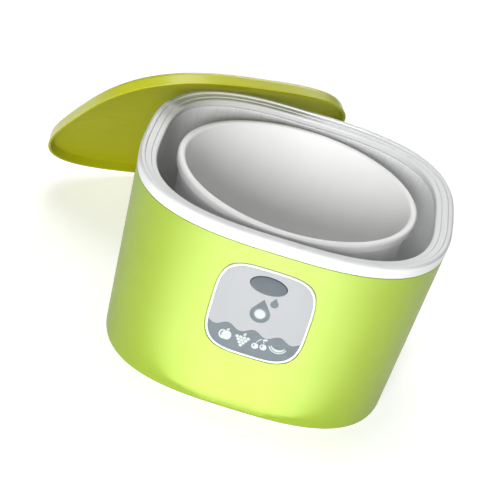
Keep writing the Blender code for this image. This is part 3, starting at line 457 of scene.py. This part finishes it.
def woven(name, colour, scale):
    """Fibrous pad or braid."""
    material, shader = new_material(name, colour, 0.9)
    tree = material.node_tree
    fibres = noise(tree, scale, 8.0, (1.0, 1.0, 3.0))
    tree.links.new(ramp(tree, fibres, shade(colour, 0.75), shade(colour, 1.1)),
                   shader.inputs["Base Color"])
    bumped(tree, shader, fibres, 0.08 * MM)
    shader.inputs["Sheen Weight"].default_value = 0.3
    return material


LIME = (0.262, 0.372, 0.018)
LID_LIME = (0.520, 0.540, 0.020)
# Darker copy of the lid's lime for the lid's inner face: painted shade, since the inside is the same
# plastic as the outside.
LID_INSIDE_PAINTED_SHADE = (0.300, 0.308, 0.003)
WHITE = (0.69, 0.70, 0.70)

lime_plastic = moulded("lime_plastic", LIME, 0.54, 0.35, 0.0006, 0.02, gloss=0.3)
lid_plastic = moulded("lid_plastic", LID_LIME, 0.36, 0.80, 0.0006, 0.03)
# Material of the lid's inner face in that darker colour, which is painted shade.
lid_inside_painted_shade = moulded("lid_inside_painted_shade", LID_INSIDE_PAINTED_SHADE, 0.60, 0.0, 0.002, 0.03, gloss=0.1)
white_plastic = moulded("white_plastic", WHITE, 0.34, 0.10, 0.0005, 0.01)
container_plastic = moulded("container_plastic", (0.84, 0.84, 0.835), 0.34, 0.0, 0.0005, 0.012)
base_plastic = moulded("base_plastic", (0.80, 0.81, 0.80), 0.55, 0.0, 0.02, 0.02)
face_plastic = moulded("face_plastic", (0.265, 0.272, 0.286), 0.45, 0.0, 0.0006, 0.012, gloss=0.25)
slate_print = moulded("slate_print", (0.040, 0.055, 0.064), 0.50, 0.0, 0.0006, 0.03, gloss=0.3)
button_plastic = moulded("button_plastic", (0.036, 0.048, 0.056), 0.45, 0.0, 0.0006, 0.02, gloss=0.2)
white_print = moulded("white_print", (0.29, 0.315, 0.315), 0.45, 0.0, 0.0006, 0.01)
lens_plastic = moulded("lens_plastic", (0.25, 0.275, 0.285), 0.42, 0.1, 0.0006, 0.01)
black_plastic = moulded("black_plastic", (0.018, 0.018, 0.019), 0.45, 0.0, 0.01, 0.08)
rubber = moulded("rubber", (0.028, 0.028, 0.028), 0.75, 0.0, 0.03, 0.10)
liner_metal = satin_metal("liner_metal", (0.93, 0.935, 0.94), 0.42, (1.0, 1.0, 0.05), 0.0004,
                          0.15)
steel = satin_metal("steel", (0.56, 0.56, 0.58), 0.28)
heater_metal = satin_metal("heater_metal", (0.78, 0.78, 0.79), 0.35, (1.0, 0.08, 1.0))
board = circuit_board("board")
felt = woven("felt", (0.78, 0.75, 0.66), 900.0)

SLOT_MATERIALS = {
    "screw_steel": steel,
    "board_green": board,
    "black_plastic": black_plastic,
    "led_red": moulded("led_red", (0.70, 0.08, 0.03), 0.15, 0.5),
    "heater_aluminium": heater_metal,
    "mica": moulded("mica", (0.45, 0.34, 0.20), 0.45, 0.0, 0.02, 0.25, 300.0),
    "felt": felt,
    "ceramic": moulded("ceramic", (0.80, 0.78, 0.72), 0.35, 0.2),
    "relay_blue": moulded("relay_blue", (0.03, 0.08, 0.28), 0.4),
    "capacitor_yellow": moulded("capacitor_yellow", (0.62, 0.50, 0.06), 0.35),
    "terminal_green": moulded("terminal_green", (0.05, 0.30, 0.10), 0.45),
    "wire_brown": moulded("wire_brown", (0.22, 0.08, 0.02), 0.5),
    "wire_blue": moulded("wire_blue", (0.02, 0.10, 0.42), 0.5),
    "wire_white": woven("wire_white", (0.74, 0.73, 0.68), 3000.0),
    "wire_red": moulded("wire_red", (0.60, 0.04, 0.03), 0.5),
    "wire_black": moulded("wire_black", (0.02, 0.02, 0.02), 0.5),
    "wire_grey": moulded("wire_grey", (0.36, 0.36, 0.37), 0.5),
}


def dress_cad_nodes():
    """Give every carried-over CAD node the material of its slot."""
    for part in frame["record"]["subparts"]:
        material = SLOT_MATERIALS.get(part["material_slot"])
        if material:
            node = frame["nodes"][part["node"]]
            node.data.materials.clear()
            node.data.materials.append(material)
            node.data.shade_smooth()


# ---------------------------------------------------------------- big shells

RING_SEAM = 106.2 * MM
RING_INNER = 81.3 * MM
RING_UNDERSIDE = 107.4 * MM
RING_LAND = 111.9 * MM
RING_INNER_LAND = 111.3 * MM
SKIRT_BOTTOM = 99.0 * MM
SKIRT_THICKNESS = 1.8 * MM
LID_HALF_WIDTH = 88.0 * MM


def rim_ring():
    """White ring: rounded crown, two fine steps, the lid's seat and a rounded inner lip."""
    top = BODY_HEIGHT
    skirt = WALL + GAP
    back = skirt + SKIRT_THICKNESS
    corners = [
        (body_half_width(top), top, 1.7 * MM),
        (body_half_width(RING_SEAM), RING_SEAM, 0.25 * MM),
        (body_half_width(RING_SEAM) - skirt, RING_SEAM, 0.0),
        (body_half_width(SKIRT_BOTTOM) - skirt, SKIRT_BOTTOM, 0.3 * MM),
        (body_half_width(SKIRT_BOTTOM) - back, SKIRT_BOTTOM, 0.3 * MM),
        (body_half_width(RING_UNDERSIDE) - back, RING_UNDERSIDE, 0.4 * MM),
        (RING_INNER, RING_UNDERSIDE, 0.5 * MM),
        (RING_INNER, RING_INNER_LAND, 1.2 * MM),
        (RING_INNER + 3.3 * MM, RING_INNER_LAND, 0.25 * MM),
        (RING_INNER + 3.7 * MM, RING_LAND, 0.25 * MM),
        (LID_HALF_WIDTH + GAP, RING_LAND, 0.25 * MM),
        (LID_HALF_WIDTH + 2.2 * GAP, top, 0.6 * MM),
    ]
    ring = turned("rim_ring_moulding", rounded_profile(corners, True), ROUND_STEPS, body_plan)
    return install(ring, white_plastic, BODY, "white_trim", "rim_ring")


BASE_RADIUS = 82.2 * MM
BASE_THICKNESS = 2.4 * MM
BASE_SCREW_PLACE = 63.0 * MM
FOOT_PLACE = 44.0 * MM
SCREW_HOLE = 1.6 * MM
PILOT_HOLE = 1.3 * MM
CLEAR = 2.0 * MM                     # how far a cutter runs past what it cuts
WINDOW_HALF = 26.6 * MM
INLET_HEIGHT = 11.5 * MM
INLET_TURN = Matrix.Translation((0.0, 0.0, INLET_HEIGHT)) @ Matrix.Rotation(math.pi / 2.0, 4, "X")


def four_corners(place):
    """The four points of the plan at plus and minus a distance."""
    return [(x * place, y * place) for x in (-1, 1) for y in (-1, 1)]


def upright_cylinders(radius, bottom, top, places, steps=32):
    """Cutter or boss cylinders at points of the plan."""
    pieces = []
    for x, y in places:
        profile = [(0.0, top), (radius, top), (radius, bottom), (0.0, bottom)]
        pieces.append(placed(turned("cylinder", profile, steps), Matrix.Translation((x, y, 0.0))))
    return joined("cylinders", pieces)


def outer_housing():
    """Lime wall with the panel's recess and window and the inlet's opening."""
    top = RING_SEAM - GAP
    inner_base = BASE_RADIUS + GAP
    corners = [
        (body_half_width(top), top, 0.3 * MM),
        (body_half_width(0.0), 0.0, 2.4 * MM),
        (inner_base, 0.0, 0.3 * MM),
        (inner_base, BASE_THICKNESS, 0.0),
        (body_half_width(top) - WALL, top, 0.2 * MM),
    ]
    housing = turned("housing_shell", rounded_profile(corners, True), ROUND_STEPS, body_plan)
    screws = four_corners(BASE_SCREW_PLACE)
    cut(housing, upright_cylinders(5.0 * MM, BASE_THICKNESS + GAP, 16.0 * MM, screws), "UNION")
    cut(housing, upright_cylinders(SCREW_HOLE, 0.5 * MM, 13.0 * MM, screws))
    recess = finished("recess", bent(solid_from_outlines(
        "recess", [panel_outline(PANEL_HALF + GAP, 96)], -1.5 * MM, CLEAR)))
    cut(housing, placed(recess, panel_matrix()))
    window = finished("window", bent(solid_from_outlines(
        "window", [panel_outline(WINDOW_HALF, 96)], -5.4 * MM, CLEAR)))
    cut(housing, placed(window, panel_matrix()))
    opening = finished("opening", solid_from_outlines(
        "opening", [superellipse(9.3 * MM, 5.7 * MM, 8.0, 48)], -HALF_WIDTH_TOP, -71.0 * MM))
    cut(housing, placed(opening, INLET_TURN))
    smoothed(housing, 40.0)
    return install(housing, lime_plastic, BODY, "housing_lime", "outer_housing")


LINER_FLOOR = 22.5 * MM
LINER_WALL = 1.6 * MM
LINER_HALF_BASE = 77.6 * MM
LINER_HALF_TOP = 81.5 * MM
LINER_FLANGE = 86.1 * MM
LINER_SCREW_PLACE = 84.75 * MM
CLAMP_SCREW_PLACE = 42.0 * MM
CLAMP_BOSS_BOTTOM = 15.5 * MM


def liner_radius(height):
    """Inner half width of the liner at a height."""
    share = (height - LINER_FLOOR) / (RING_UNDERSIDE - LINER_FLOOR)
    return LINER_HALF_BASE + (LINER_HALF_TOP - LINER_HALF_BASE) * share


def cavity_liner():
    """Silver-grey tub with rounded inner corners and an outward flange."""
    top = RING_UNDERSIDE - GAP
    bottom = LINER_FLOOR - LINER_WALL
    under = top - 2.1 * MM
    corners = [
        (0.0, LINER_FLOOR, 0.0),
        (liner_radius(LINER_FLOOR), LINER_FLOOR, 4.0 * MM),
        (liner_radius(top), top, 0.5 * MM),
        (LINER_FLANGE, top, 0.2 * MM),
        (LINER_FLANGE, under, 0.2 * MM),
        (liner_radius(under) + LINER_WALL, under, 0.4 * MM),
        (liner_radius(bottom) + LINER_WALL, bottom, 5.6 * MM),
        (0.0, bottom, 0.0),
    ]
    liner = turned("liner_tub", rounded_profile(corners, False), ROUND_STEPS, body_plan)
    clamps = [(-CLAMP_SCREW_PLACE, 0.0), (CLAMP_SCREW_PLACE, 0.0)]
    cut(liner, upright_cylinders(3.5 * MM, CLAMP_BOSS_BOTTOM, bottom + 0.5 * LINER_WALL, clamps),
        "UNION")
    cut(liner, upright_cylinders(PILOT_HOLE, 13.0 * MM, bottom - 0.5 * MM, clamps))
    place = LINER_SCREW_PLACE
    screws = [(place, 0.0), (-place, 0.0), (0.0, place), (0.0, -place)]
    cut(liner, upright_cylinders(PILOT_HOLE, under - CLEAR, top + CLEAR, screws))
    smoothed(liner, 45.0)
    return install(liner, liner_metal, BODY, "liner_grey", "cavity_liner")


def inner_container():
    """Round white container with a broad rounded lip."""
    low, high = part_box("inner_container")
    bottom = low[2]
    top = high[2]
    lip = high[0]
    floor = bottom + 2.0 * MM
    lip_bottom = top - 5.4 * MM
    corners = [
        (0.0, floor, 0.0),
        (59.6 * MM, floor, 7.0 * MM),
        (67.0 * MM, top, 1.6 * MM),
        (lip, top - 0.2 * MM, 1.4 * MM),
        (lip - 0.2 * MM, lip_bottom, 0.5 * MM),
        (68.8 * MM, lip_bottom, 0.4 * MM),
        (61.6 * MM, bottom, 7.0 * MM),
        (57.0 * MM, bottom, 0.3 * MM),
        (56.2 * MM, bottom + 0.7 * MM, 0.3 * MM),
        (0.0, bottom + 0.7 * MM, 0.0),
    ]
    container = turned("container_pot", rounded_profile(corners, False), ROUND_STEPS)
    return install(container, container_plastic, CONTAINER, "container_white", "inner_container")


LEAN_YAW = math.radians(29.0)
LEAN_TILT = math.radians(47.0)
LEAN_SPIN = math.radians(7.0)
LEAN_DISTANCE = 74.6 * MM
LEAN_SIDEWAYS = 4.6 * MM
LID_SHOULDER_RADIUS = 84.3 * MM
LID_CROWN = 12.4 * MM
LID_DOME_DROP = 3.9 * MM
LID_DOME_POWER = 3.4
LID_WALL = 1.9 * MM


def lid_matrix():
    """Place of the leaning lid: its lower edge is on the ground behind the body."""
    turn = (Matrix.Rotation(LEAN_YAW, 3, "Z") @ Matrix.Rotation(-LEAN_TILT, 3, "X")
            @ Matrix.Rotation(LEAN_SPIN, 3, "Z"))
    away = Vector((-math.sin(LEAN_YAW), math.cos(LEAN_YAW), 0.0))
    left = Vector((-math.cos(LEAN_YAW), -math.sin(LEAN_YAW), 0.0))
    distance = LEAN_DISTANCE + LID_HALF_WIDTH * math.cos(LEAN_TILT)
    centre = away * distance + left * LEAN_SIDEWAYS
    edge = [body_plan(LID_HALF_WIDTH, math.radians(angle)) for angle in range(360)]
    lowest = min((turn @ Vector((x, y, 0.0))).z for x, y in edge)
    centre.z = GROUND - lowest
    return Matrix.Translation(centre) @ turn.to_4x4()


def lid_dome(radius):
    """Height of the lid's outer face over its edge, at a radius inside the shoulder."""
    return LID_CROWN - LID_DOME_DROP * (radius / LID_SHOULDER_RADIUS) ** LID_DOME_POWER


def outer_lid():
    """Shallow domed lid with a soft shoulder, glossy outside and matt inside, the inside a darker
    colour that is painted shade.
    """
    shoulder = LID_CROWN - LID_DOME_DROP
    radii = (0, 12, 24, 34, 42, 49, 55, 60, 65, 69, 73, 76.5, 79.5)
    outer = [(radius * MM, lid_dome(radius * MM), 0.0) for radius in radii]
    inner = [(radius * MM, lid_dome(radius * MM) - LID_WALL, 0.0) for radius in radii[-2::-1]]
    edge = 0.03 * MM
    corners = outer + [
        (LID_SHOULDER_RADIUS + 1.3 * MM, shoulder - 0.1 * MM, 3.4 * MM),
        (LID_HALF_WIDTH - 0.1 * MM, edge, 0.6 * MM),
        (LID_HALF_WIDTH - LID_WALL, edge, 0.6 * MM),
        (LID_SHOULDER_RADIUS - 0.3 * MM, shoulder - 2.2 * MM, 2.6 * MM),
    ] + inner
    profile = rounded_profile(corners, False)
    lid = turned("lid_shell", profile, ROUND_STEPS, body_plan)
    placed(lid, lid_matrix())
    install(lid, lid_plastic, LID, "lid_lime", "outer_lid")
    # The inward-facing faces get the darker inside colour: painted shade on the lid's inner face.
    lid.data.materials.append(lid_inside_painted_shade)
    outward = lid_matrix().to_3x3() @ Vector((0.0, 0.0, 1.0))
    for face in lid.data.polygons:
        face.material_index = 1 if face.normal.dot(outward) < -0.3 else 0
    return lid


# ---------------------------------------------------------------- base

def base_cover():
    """Base plate with rounded vents, foot recesses, countersunk screw holes and posts."""
    top = BASE_THICKNESS
    corners = [
        (0.0, top, 0.0),
        (66.0 * MM, top, 0.2 * MM),
        (66.0 * MM, top + 2.4 * MM, 0.3 * MM),
        (68.0 * MM, top + 2.4 * MM, 0.3 * MM),
        (68.0 * MM, top, 0.2 * MM),
        (BASE_RADIUS, top, 0.3 * MM),
        (BASE_RADIUS, 0.0, 0.5 * MM),
        (0.0, 0.0, 0.0),
    ]
    cover = turned("base_plate", rounded_profile(corners, False), ROUND_STEPS, body_plan)
    posts = [(x * 32.0 * MM, 50.0 * MM + y * 8.5 * MM) for x in (-1, 1) for y in (-1, 1)]
    cut(cover, upright_cylinders(2.4 * MM, 0.5 * top, 5.9 * MM, posts), "UNION")
    cut(cover, upright_cylinders(PILOT_HOLE, top, 8.0 * MM, posts))
    cut(cover, upright_cylinders(7.2 * MM, -CLEAR, 0.8 * MM, four_corners(FOOT_PLACE), 48))
    screws = four_corners(BASE_SCREW_PLACE)
    cut(cover, upright_cylinders(3.3 * MM, -CLEAR, 1.4 * MM, screws))
    cut(cover, upright_cylinders(SCREW_HOLE, -CLEAR, 5.0 * MM, screws))
    slots = []
    for side in (-1, 1):
        for index in (-1, 0, 1):
            y = (side * 22.0 + index * 6.0) * MM
            outline = superellipse(15.0 * MM, 1.2 * MM, 8.0, 40, 0.0, y)
            slots.append(finished("slot", solid_from_outlines(
                "slot", [outline], -CLEAR, top + CLEAR)))
    cut(cover, joined("slots", slots))
    smoothed(cover, 40.0)
    return install(cover, base_plastic, BODY, "base_white", "base_cover")


def rubber_feet():
    """Round feet with a softened edge and a shallow ring groove underneath."""
    for number in range(1, 5):
        node = f"rubber_foot_{number}"
        low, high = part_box(node)
        radius = (high[0] - low[0]) / 2.0
        corners = [
            (0.0, high[2], 0.0),
            (radius, high[2], 0.2 * MM),
            (radius, low[2], 0.8 * MM),
            (0.62 * radius, low[2], 0.2 * MM),
            (0.55 * radius, low[2] + 0.5 * MM, 0.2 * MM),
            (0.45 * radius, low[2] + 0.5 * MM, 0.2 * MM),
            (0.38 * radius, low[2], 0.2 * MM),
            (0.0, low[2], 0.0),
        ]
        foot = turned(f"foot_pad_{number}", rounded_profile(corners, False), 64)
        placed(foot, Matrix.Translation(((low[0] + high[0]) / 2.0, (low[1] + high[1]) / 2.0, 0.0)))
        install(foot, rubber, BODY, "foot_rubber", node)


def mains_inlet():
    """Two-pin inlet: rounded flange, socket with a sunk floor and its body."""
    low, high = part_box("power_inlet")
    front = -high[1]
    body = finished("inlet_body", solid_from_outlines(
        "inlet_body", [superellipse(9.0 * MM, 5.4 * MM, 8.0, 64)], front + 0.5 * MM, -low[1]))
    flange = finished("flange", solid_from_outlines(
        "flange", [superellipse(11.5 * MM, 7.4 * MM, 4.0, 96)], front, front + 1.3 * MM))
    cut(body, flange, "UNION")
    socket = finished("socket", solid_from_outlines(
        "socket", [superellipse(7.3 * MM, 4.1 * MM, 3.0, 64)], front - 2.0 * MM, -75.5 * MM))
    cut(body, socket)
    holes = []
    for x in (-4.3 * MM, 4.3 * MM):
        holes.append(finished("hole", solid_from_outlines(
            "hole", [superellipse(1.45 * MM, 1.45 * MM, 2.0, 32, x)], -77.0 * MM, -70.0 * MM)))
    cut(body, joined("holes", holes))
    smoothed(body, 35.0)
    bevel = body.modifiers.new("edges", "BEVEL")
    bevel.width = 0.25 * MM
    bevel.segments = 2
    bevel.angle_limit = math.radians(60.0)
    placed(body, INLET_TURN)
    return install(body, black_plastic, BODY, "black_plastic", "power_inlet")


# ---------------------------------------------------------------- control panel

def panel_bezel():
    """White frame of the panel, with a rounded front."""
    edge = PANEL_HALF - 0.25 * MM
    corners = [
        (edge, 0.3 * MM, 0.5 * MM),
        (edge, -1.2 * MM, 0.1 * MM),
        (26.3 * MM, -1.2 * MM, 0.0),
        (26.3 * MM, -3.4 * MM, 0.1 * MM),
        (24.9 * MM, -3.4 * MM, 0.1 * MM),
        (24.9 * MM, -0.7 * MM, 0.1 * MM),
        (BEZEL_INNER, -0.7 * MM, 0.0),
        (BEZEL_INNER, 0.3 * MM, 0.25 * MM),
    ]
    bezel = turned("bezel_frame", rounded_profile(corners, True), 160, panel_plan)
    for vertex in bezel.data.vertices:
        vertex.co.z -= wall_sag(vertex.co.x)
    placed(bezel, panel_matrix())
    return install(bezel, white_plastic, BODY, "white_trim", "panel_bezel")


def panel_faceplate():
    """Grey faceplate with the button's opening and the lens's hole."""
    outlines = [
        panel_outline(BEZEL_INNER - SEAM),
        superellipse(BUTTON_LONG + SEAM, BUTTON_SHORT + SEAM, 2.0, 72, 0.0, BUTTON_PLACE),
        superellipse(LENS_RADIUS + SEAM, LENS_RADIUS + SEAM, 2.0, 48, 0.0, LENS_PLACE),
    ]
    face = finished("faceplate", bent(solid_from_outlines("face", outlines, FACE_BACK, FACE_FRONT)),
                    30.0)
    placed(face, panel_matrix())
    return install(face, face_plastic, BODY, "panel_grey", "panel_faceplate")


def power_button():
    """Domed oval button with its flange and stem."""
    flange_front = FACE_BACK - GAP
    flange_back = flange_front - 0.8 * MM
    crown = [(radius * MM, (0.8 - 0.25 * (radius / 9.4) ** 2) * MM, 0.0)
             for radius in (0.0, 1.5, 3.0, 4.5, 6.0, 7.5, 8.8)]
    corners = crown + [
        (BUTTON_LONG, 0.5 * MM, 0.7 * MM),
        (BUTTON_LONG, flange_front, 0.0),
        (BUTTON_LONG + 0.8 * MM, flange_front, 0.1 * MM),
        (BUTTON_LONG + 0.8 * MM, flange_back, 0.1 * MM),
        (BUTTON_STEM, flange_back, 0.2 * MM),
        (BUTTON_STEM, -2.95 * MM, 0.3 * MM),
        (0.0, -2.95 * MM, 0.0),
    ]
    button = turned("oval_button", rounded_profile(corners, False), 96, button_plan)
    placed(button, panel_matrix(BUTTON_PLACE))
    return install(button, button_plastic, BUTTON, "button_slate", "power_button")


def indicator_lens():
    """Frosted round lens with its flange and light guide."""
    corners = [
        (0.0, 0.34 * MM, 0.0),
        (0.45 * LENS_RADIUS, 0.32 * MM, 0.0),
        (LENS_RADIUS, 0.2 * MM, 0.25 * MM),
        (LENS_RADIUS, -0.7 * MM, 0.0),
        (LENS_RADIUS + 0.9 * MM, -0.7 * MM, 0.1 * MM),
        (LENS_RADIUS + 0.9 * MM, -1.2 * MM, 0.1 * MM),
        (2.0 * MM, -1.2 * MM, 0.2 * MM),
        (2.0 * MM, -2.2 * MM, 0.2 * MM),
        (0.0, -2.2 * MM, 0.0),
    ]
    lens = turned("lens_button", rounded_profile(corners, False), 64)
    placed(lens, panel_matrix(LENS_PLACE))
    return install(lens, lens_plastic, BODY, "lens_clear", "indicator_lens")


# ---------------------------------------------------------------- prints on the faceplate

PRINT = 0.05 * MM                    # thickness of one layer of print
PRINT_GAP = 0.005 * MM               # keeps a print off the face under it
PICTURE_LEVEL = -18.3                # millimetres, as the fruit pictures are
WAVE_LEVEL = -12.2 * MM
WAVE_HEIGHT = 1.6 * MM
WAVE_LENGTH = 14.6 * MM
WAVE_CREST = -0.3 * MM


def printed(name, outlines, material, slot):
    """A thin print that lies on the faceplate."""
    bottom = FACE_FRONT + PRINT_GAP
    shape = bent(solid_from_outlines(name, outlines, bottom, bottom + PRINT))
    obj = finished(name, shape, 30.0)
    placed(obj, panel_matrix())
    return install(obj, material, BODY, slot)


def wave(x):
    """Height of the wave band's upper edge."""
    return WAVE_LEVEL + WAVE_HEIGHT * math.cos(2.0 * math.pi * (x - WAVE_CREST) / WAVE_LENGTH)


def wave_band():
    """Slate band across the lower part of the faceplate, with a wavy upper edge."""
    edge = panel_outline(BEZEL_INNER - SEAM - 0.1 * MM, 320)
    below = [(x, y) for x, y in edge if y < wave(x)]
    left = min(point[0] for point in below)
    right = max(point[0] for point in below)
    steps = 90
    crest = [right + (left - right) * step / steps for step in range(1, steps)]
    start = below.index(min(below, key=lambda point: point[0] - 0.001 * point[1]))
    ordered = below[start:] + below[:start]
    outline = ordered + [(x, wave(x)) for x in crest]
    return printed("wave_band", [outline], slate_print, "button_slate")


def drop_outline(x, y, radius, tip, steps=40):
    """Teardrop: a circle whose sides run up to a tip above its centre."""
    lift = math.asin(radius / tip)
    outline = []
    for step in range(steps + 1):
        angle = lift - (math.pi + 2.0 * lift) * step / steps
        outline.append((x + radius * math.cos(angle), y + radius * math.sin(angle)))
    outline.append((x, y + tip))
    return outline


def drops():
    """The big drop round the lens and the small drop beside it."""
    ring = superellipse(LENS_RADIUS + 0.35 * MM, LENS_RADIUS + 0.35 * MM, 2.0, 48, 0.0, LENS_PLACE)
    printed("drop_print", [drop_outline(0.0, LENS_PLACE, 5.6 * MM, 9.7 * MM), ring],
            slate_print, "button_slate")
    printed("small_drop_print", [drop_outline(5.9 * MM, 8.9 * MM, 2.25 * MM, 4.1 * MM)],
            slate_print, "button_slate")


def stroke(points, width):
    """Outline of a line of this width through points, with tapered round ends."""
    left = []
    right = []
    last = len(points) - 1
    for index, point in enumerate(points):
        before = Vector(points[max(index - 1, 0)])
        after = Vector(points[min(index + 1, last)])
        along = (after - before).normalized()
        side = Vector((-along.y, along.x)) * width / 2.0
        if index in (0, last):
            side = side * 0.35
        left.append(tuple(Vector(point) + side))
        right.append(tuple(Vector(point) - side))
    return left + right[::-1]


def arc(x, y, radius, start, end, steps=14):
    """Points of an arc; angles in degrees."""
    return [(x + radius * math.cos(math.radians(start + (end - start) * step / steps)),
             y + radius * math.sin(math.radians(start + (end - start) * step / steps)))
            for step in range(steps + 1)]


def leaf(x, y, length, angle):
    """Pointed leaf from a stalk point."""
    direction = Vector((math.cos(math.radians(angle)), math.sin(math.radians(angle))))
    side = Vector((-direction.y, direction.x))
    upper = []
    lower = []
    for step in range(9):
        t = step / 8.0
        width = 0.26 * length * math.sin(math.pi * t)
        upper.append(tuple(Vector((x, y)) + direction * length * t + side * width))
        lower.append(tuple(Vector((x, y)) + direction * length * t - side * width))
    return upper + lower[-2:0:-1]


def berry(x, y, radius, steps=24):
    """Small disc."""
    return superellipse(radius, radius, 2.0, steps, x, y)


def apple():
    """Apple with a shine and a leaf."""
    skin = []
    for step in range(48):
        angle = 2.0 * math.pi * step / 48
        dip = 0.75 * math.exp(-((math.degrees(angle) - 90.0) / 20.0) ** 2)
        dent = 0.35 * math.exp(-((math.degrees(angle) - 270.0) / 16.0) ** 2)
        radius = 3.4 - dip - dent
        skin.append((1.06 * radius * math.cos(angle), radius * math.sin(angle) - 0.5))
    shine = stroke(arc(0.0, -0.5, 2.3, 125, 215), 0.65)
    return [[skin, shine], [leaf(0.15, 2.5, 2.3, 40)]]


def grapes():
    """Bunch of grapes with a leaf."""
    shapes = [[leaf(0.0, 2.2, 2.6, 55)]]
    for row, count in enumerate((4, 3, 2, 1)):
        for index in range(count):
            shapes.append([berry(2.1 * (index - (count - 1) / 2.0), 1.0 - 1.75 * row, 0.96)])
    return shapes


def cherries():
    """Pair of cherries on one stalk."""
    shapes = [[leaf(1.15, 3.2, 2.8, 15)]]
    for side, low in ((-1.0, -2.0), (1.0, -1.4)):
        x = 2.25 * side
        shine = superellipse(0.45, 0.7, 2.0, 16, x - 0.75, low + 0.3)
        shapes.append([berry(x, low, 1.95, 32), shine])
        top = low + 2.1
        stalk = [(x + (0.95 - x) * t, top + (3.5 - top) * (1.0 - (1.0 - t) ** 2))
                 for t in (0.0, 0.25, 0.5, 0.75, 1.0)]
        shapes.append([stroke(stalk, 0.5)])
    return shapes


def melon_slice():
    """Slice of melon with its rind."""
    rind = arc(0.0, 2.4, 5.4, 200, 340, 28) + arc(0.0, 2.4, 4.75, 340, 200, 28)
    flesh = arc(0.0, 2.4, 4.3, 204, 336, 28) + arc(0.0, 4.6, 4.9, 322, 218, 24)
    return [[rind], [flesh]]


def fruit_pictures():
    """Four generic fruit pictures in a light print on the band."""
    pictures = (("apple_print", apple(), -14.8), ("grapes_print", grapes(), -5.0),
                ("cherries_print", cherries(), 4.9), ("melon_print", melon_slice(), 14.9))
    bottom = FACE_FRONT + PRINT + 2.0 * PRINT_GAP
    for name, shapes, across in pictures:
        pieces = []
        for outlines in shapes:
            moved = [[((x + across) * MM, (y + PICTURE_LEVEL) * MM) for x, y in outline]
                     for outline in outlines]
            pieces.append(finished(name, bent(solid_from_outlines(
                name, moved, bottom, bottom + PRINT)), 30.0))
        picture = placed(joined(name, pieces), panel_matrix())
        install(picture, white_print, BODY, "white_trim")


# ---------------------------------------------------------------- stage, lights and camera

CAMERA_AIM = Vector((-0.0220, 0.0, 0.0598))
CAMERA_DISTANCE = 0.992
CAMERA_ELEVATION = math.radians(27.69)
CAMERA_ROLL = math.radians(17.1)
CAMERA_LENS = 126.6


def camera():
    """Camera in front of the panel, looking down and rolled so that the body leans."""
    data = bpy.data.cameras.new("camera")
    data.lens = CAMERA_LENS
    data.sensor_width = 36.0
    forward = Vector((0.0, math.cos(CAMERA_ELEVATION), -math.sin(CAMERA_ELEVATION)))
    right = forward.cross(Vector((0.0, 0.0, 1.0))).normalized()
    up = right.cross(forward)
    across = right * math.cos(CAMERA_ROLL) + up * math.sin(CAMERA_ROLL)
    upward = up * math.cos(CAMERA_ROLL) - right * math.sin(CAMERA_ROLL)
    place = Matrix((across, upward, -forward)).transposed().to_4x4()
    place.translation = CAMERA_AIM - forward * CAMERA_DISTANCE
    obj = bpy.data.objects.new("camera", data)
    obj.matrix_world = place
    bpy.context.scene.collection.objects.link(obj)
    bpy.context.scene.camera = obj


def area_light(name, place, target, size, power):
    """Soft white rectangular light that points at a target."""
    data = bpy.data.lights.new(name, "AREA")
    data.shape = "RECTANGLE"
    data.size = size[0]
    data.size_y = size[1]
    data.energy = power
    obj = bpy.data.objects.new(name, data)
    direction = Vector(target) - Vector(place)
    obj.rotation_euler = direction.to_track_quat("-Z", "Y").to_euler()
    obj.location = place
    bpy.context.scene.collection.objects.link(obj)
    return obj


LOOK_AT = (0.0, 0.0, 0.06)           # middle of the body, which the lights point at
REFLECTOR_Y = -0.265
REFLECTOR_DEPTH = 0.37
WORLD_LIGHT = 0.06
FLOOR_GLOW = 0.53
FRONT_LIGHT = 21.0
TOP_LIGHT = 5.6
BACK_LIGHT = 7.0
SHEEN_LIGHT = 3.2


def stage():
    """Pale floor, pale surroundings and soft lights."""
    shape = bmesh.new()
    bmesh.ops.create_grid(shape, x_segments=8, y_segments=8, size=3.0)
    for vertex in shape.verts:
        vertex.co.z = GROUND - 0.01 * MM
    floor = finished("floor", shape)
    material, shader = new_material("pale_floor", (0.77, 0.77, 0.77), 0.75)
    shader.inputs["Emission Color"].default_value = (1.0, 1.0, 1.0, 1.0)
    shader.inputs["Emission Strength"].default_value = FLOOR_GLOW
    tree = material.node_tree
    tree.links.new(ramp(tree, noise(tree, 6.0, 3.0), (0.76, 0.76, 0.76), (0.78, 0.78, 0.78)),
                   shader.inputs["Base Color"])
    floor.data.materials.append(material)
    world = bpy.data.worlds.new("surroundings")
    world.use_nodes = True
    world.node_tree.nodes["Background"].inputs["Color"].default_value = (1.0, 1.0, 1.0, 1.0)
    world.node_tree.nodes["Background"].inputs["Strength"].default_value = WORLD_LIGHT
    bpy.context.scene.world = world
    bpy.context.scene.view_settings.view_transform = "Standard"
    area_light("front_softbox", (-0.12, -1.4, 0.42), LOOK_AT, (0.4, 0.5), FRONT_LIGHT)
    area_light("top_softbox", (-0.25, 0.05, 1.3), LOOK_AT, (0.7, 0.7), TOP_LIGHT)
    area_light("back_softbox", (0.1, 1.1, 0.8), LOOK_AT, (1.2, 0.6), BACK_LIGHT)


def low_reflectors():
    """Three ellipses over each other on the floor, for the soft-edged sheen on the front."""
    for number, width in enumerate((0.16, 0.26, 0.38), 1):
        sheen = area_light(f"low_reflector_{number}", (0.0, REFLECTOR_Y, 0.002 * number),
                           (0.0, REFLECTOR_Y, 1.0), (width, REFLECTOR_DEPTH),
                           SHEEN_LIGHT * width)
        sheen.data.shape = "ELLIPSE"
        sheen.visible_camera = False
        sheen.visible_diffuse = False


dress_cad_nodes()
camera()
stage()
low_reflectors()
rim_ring()
outer_housing()
cavity_liner()
inner_container()
outer_lid()
base_cover()
rubber_feet()
mains_inlet()
panel_bezel()
panel_faceplate()
power_button()
indicator_lens()
wave_band()
drops()
fruit_pictures()
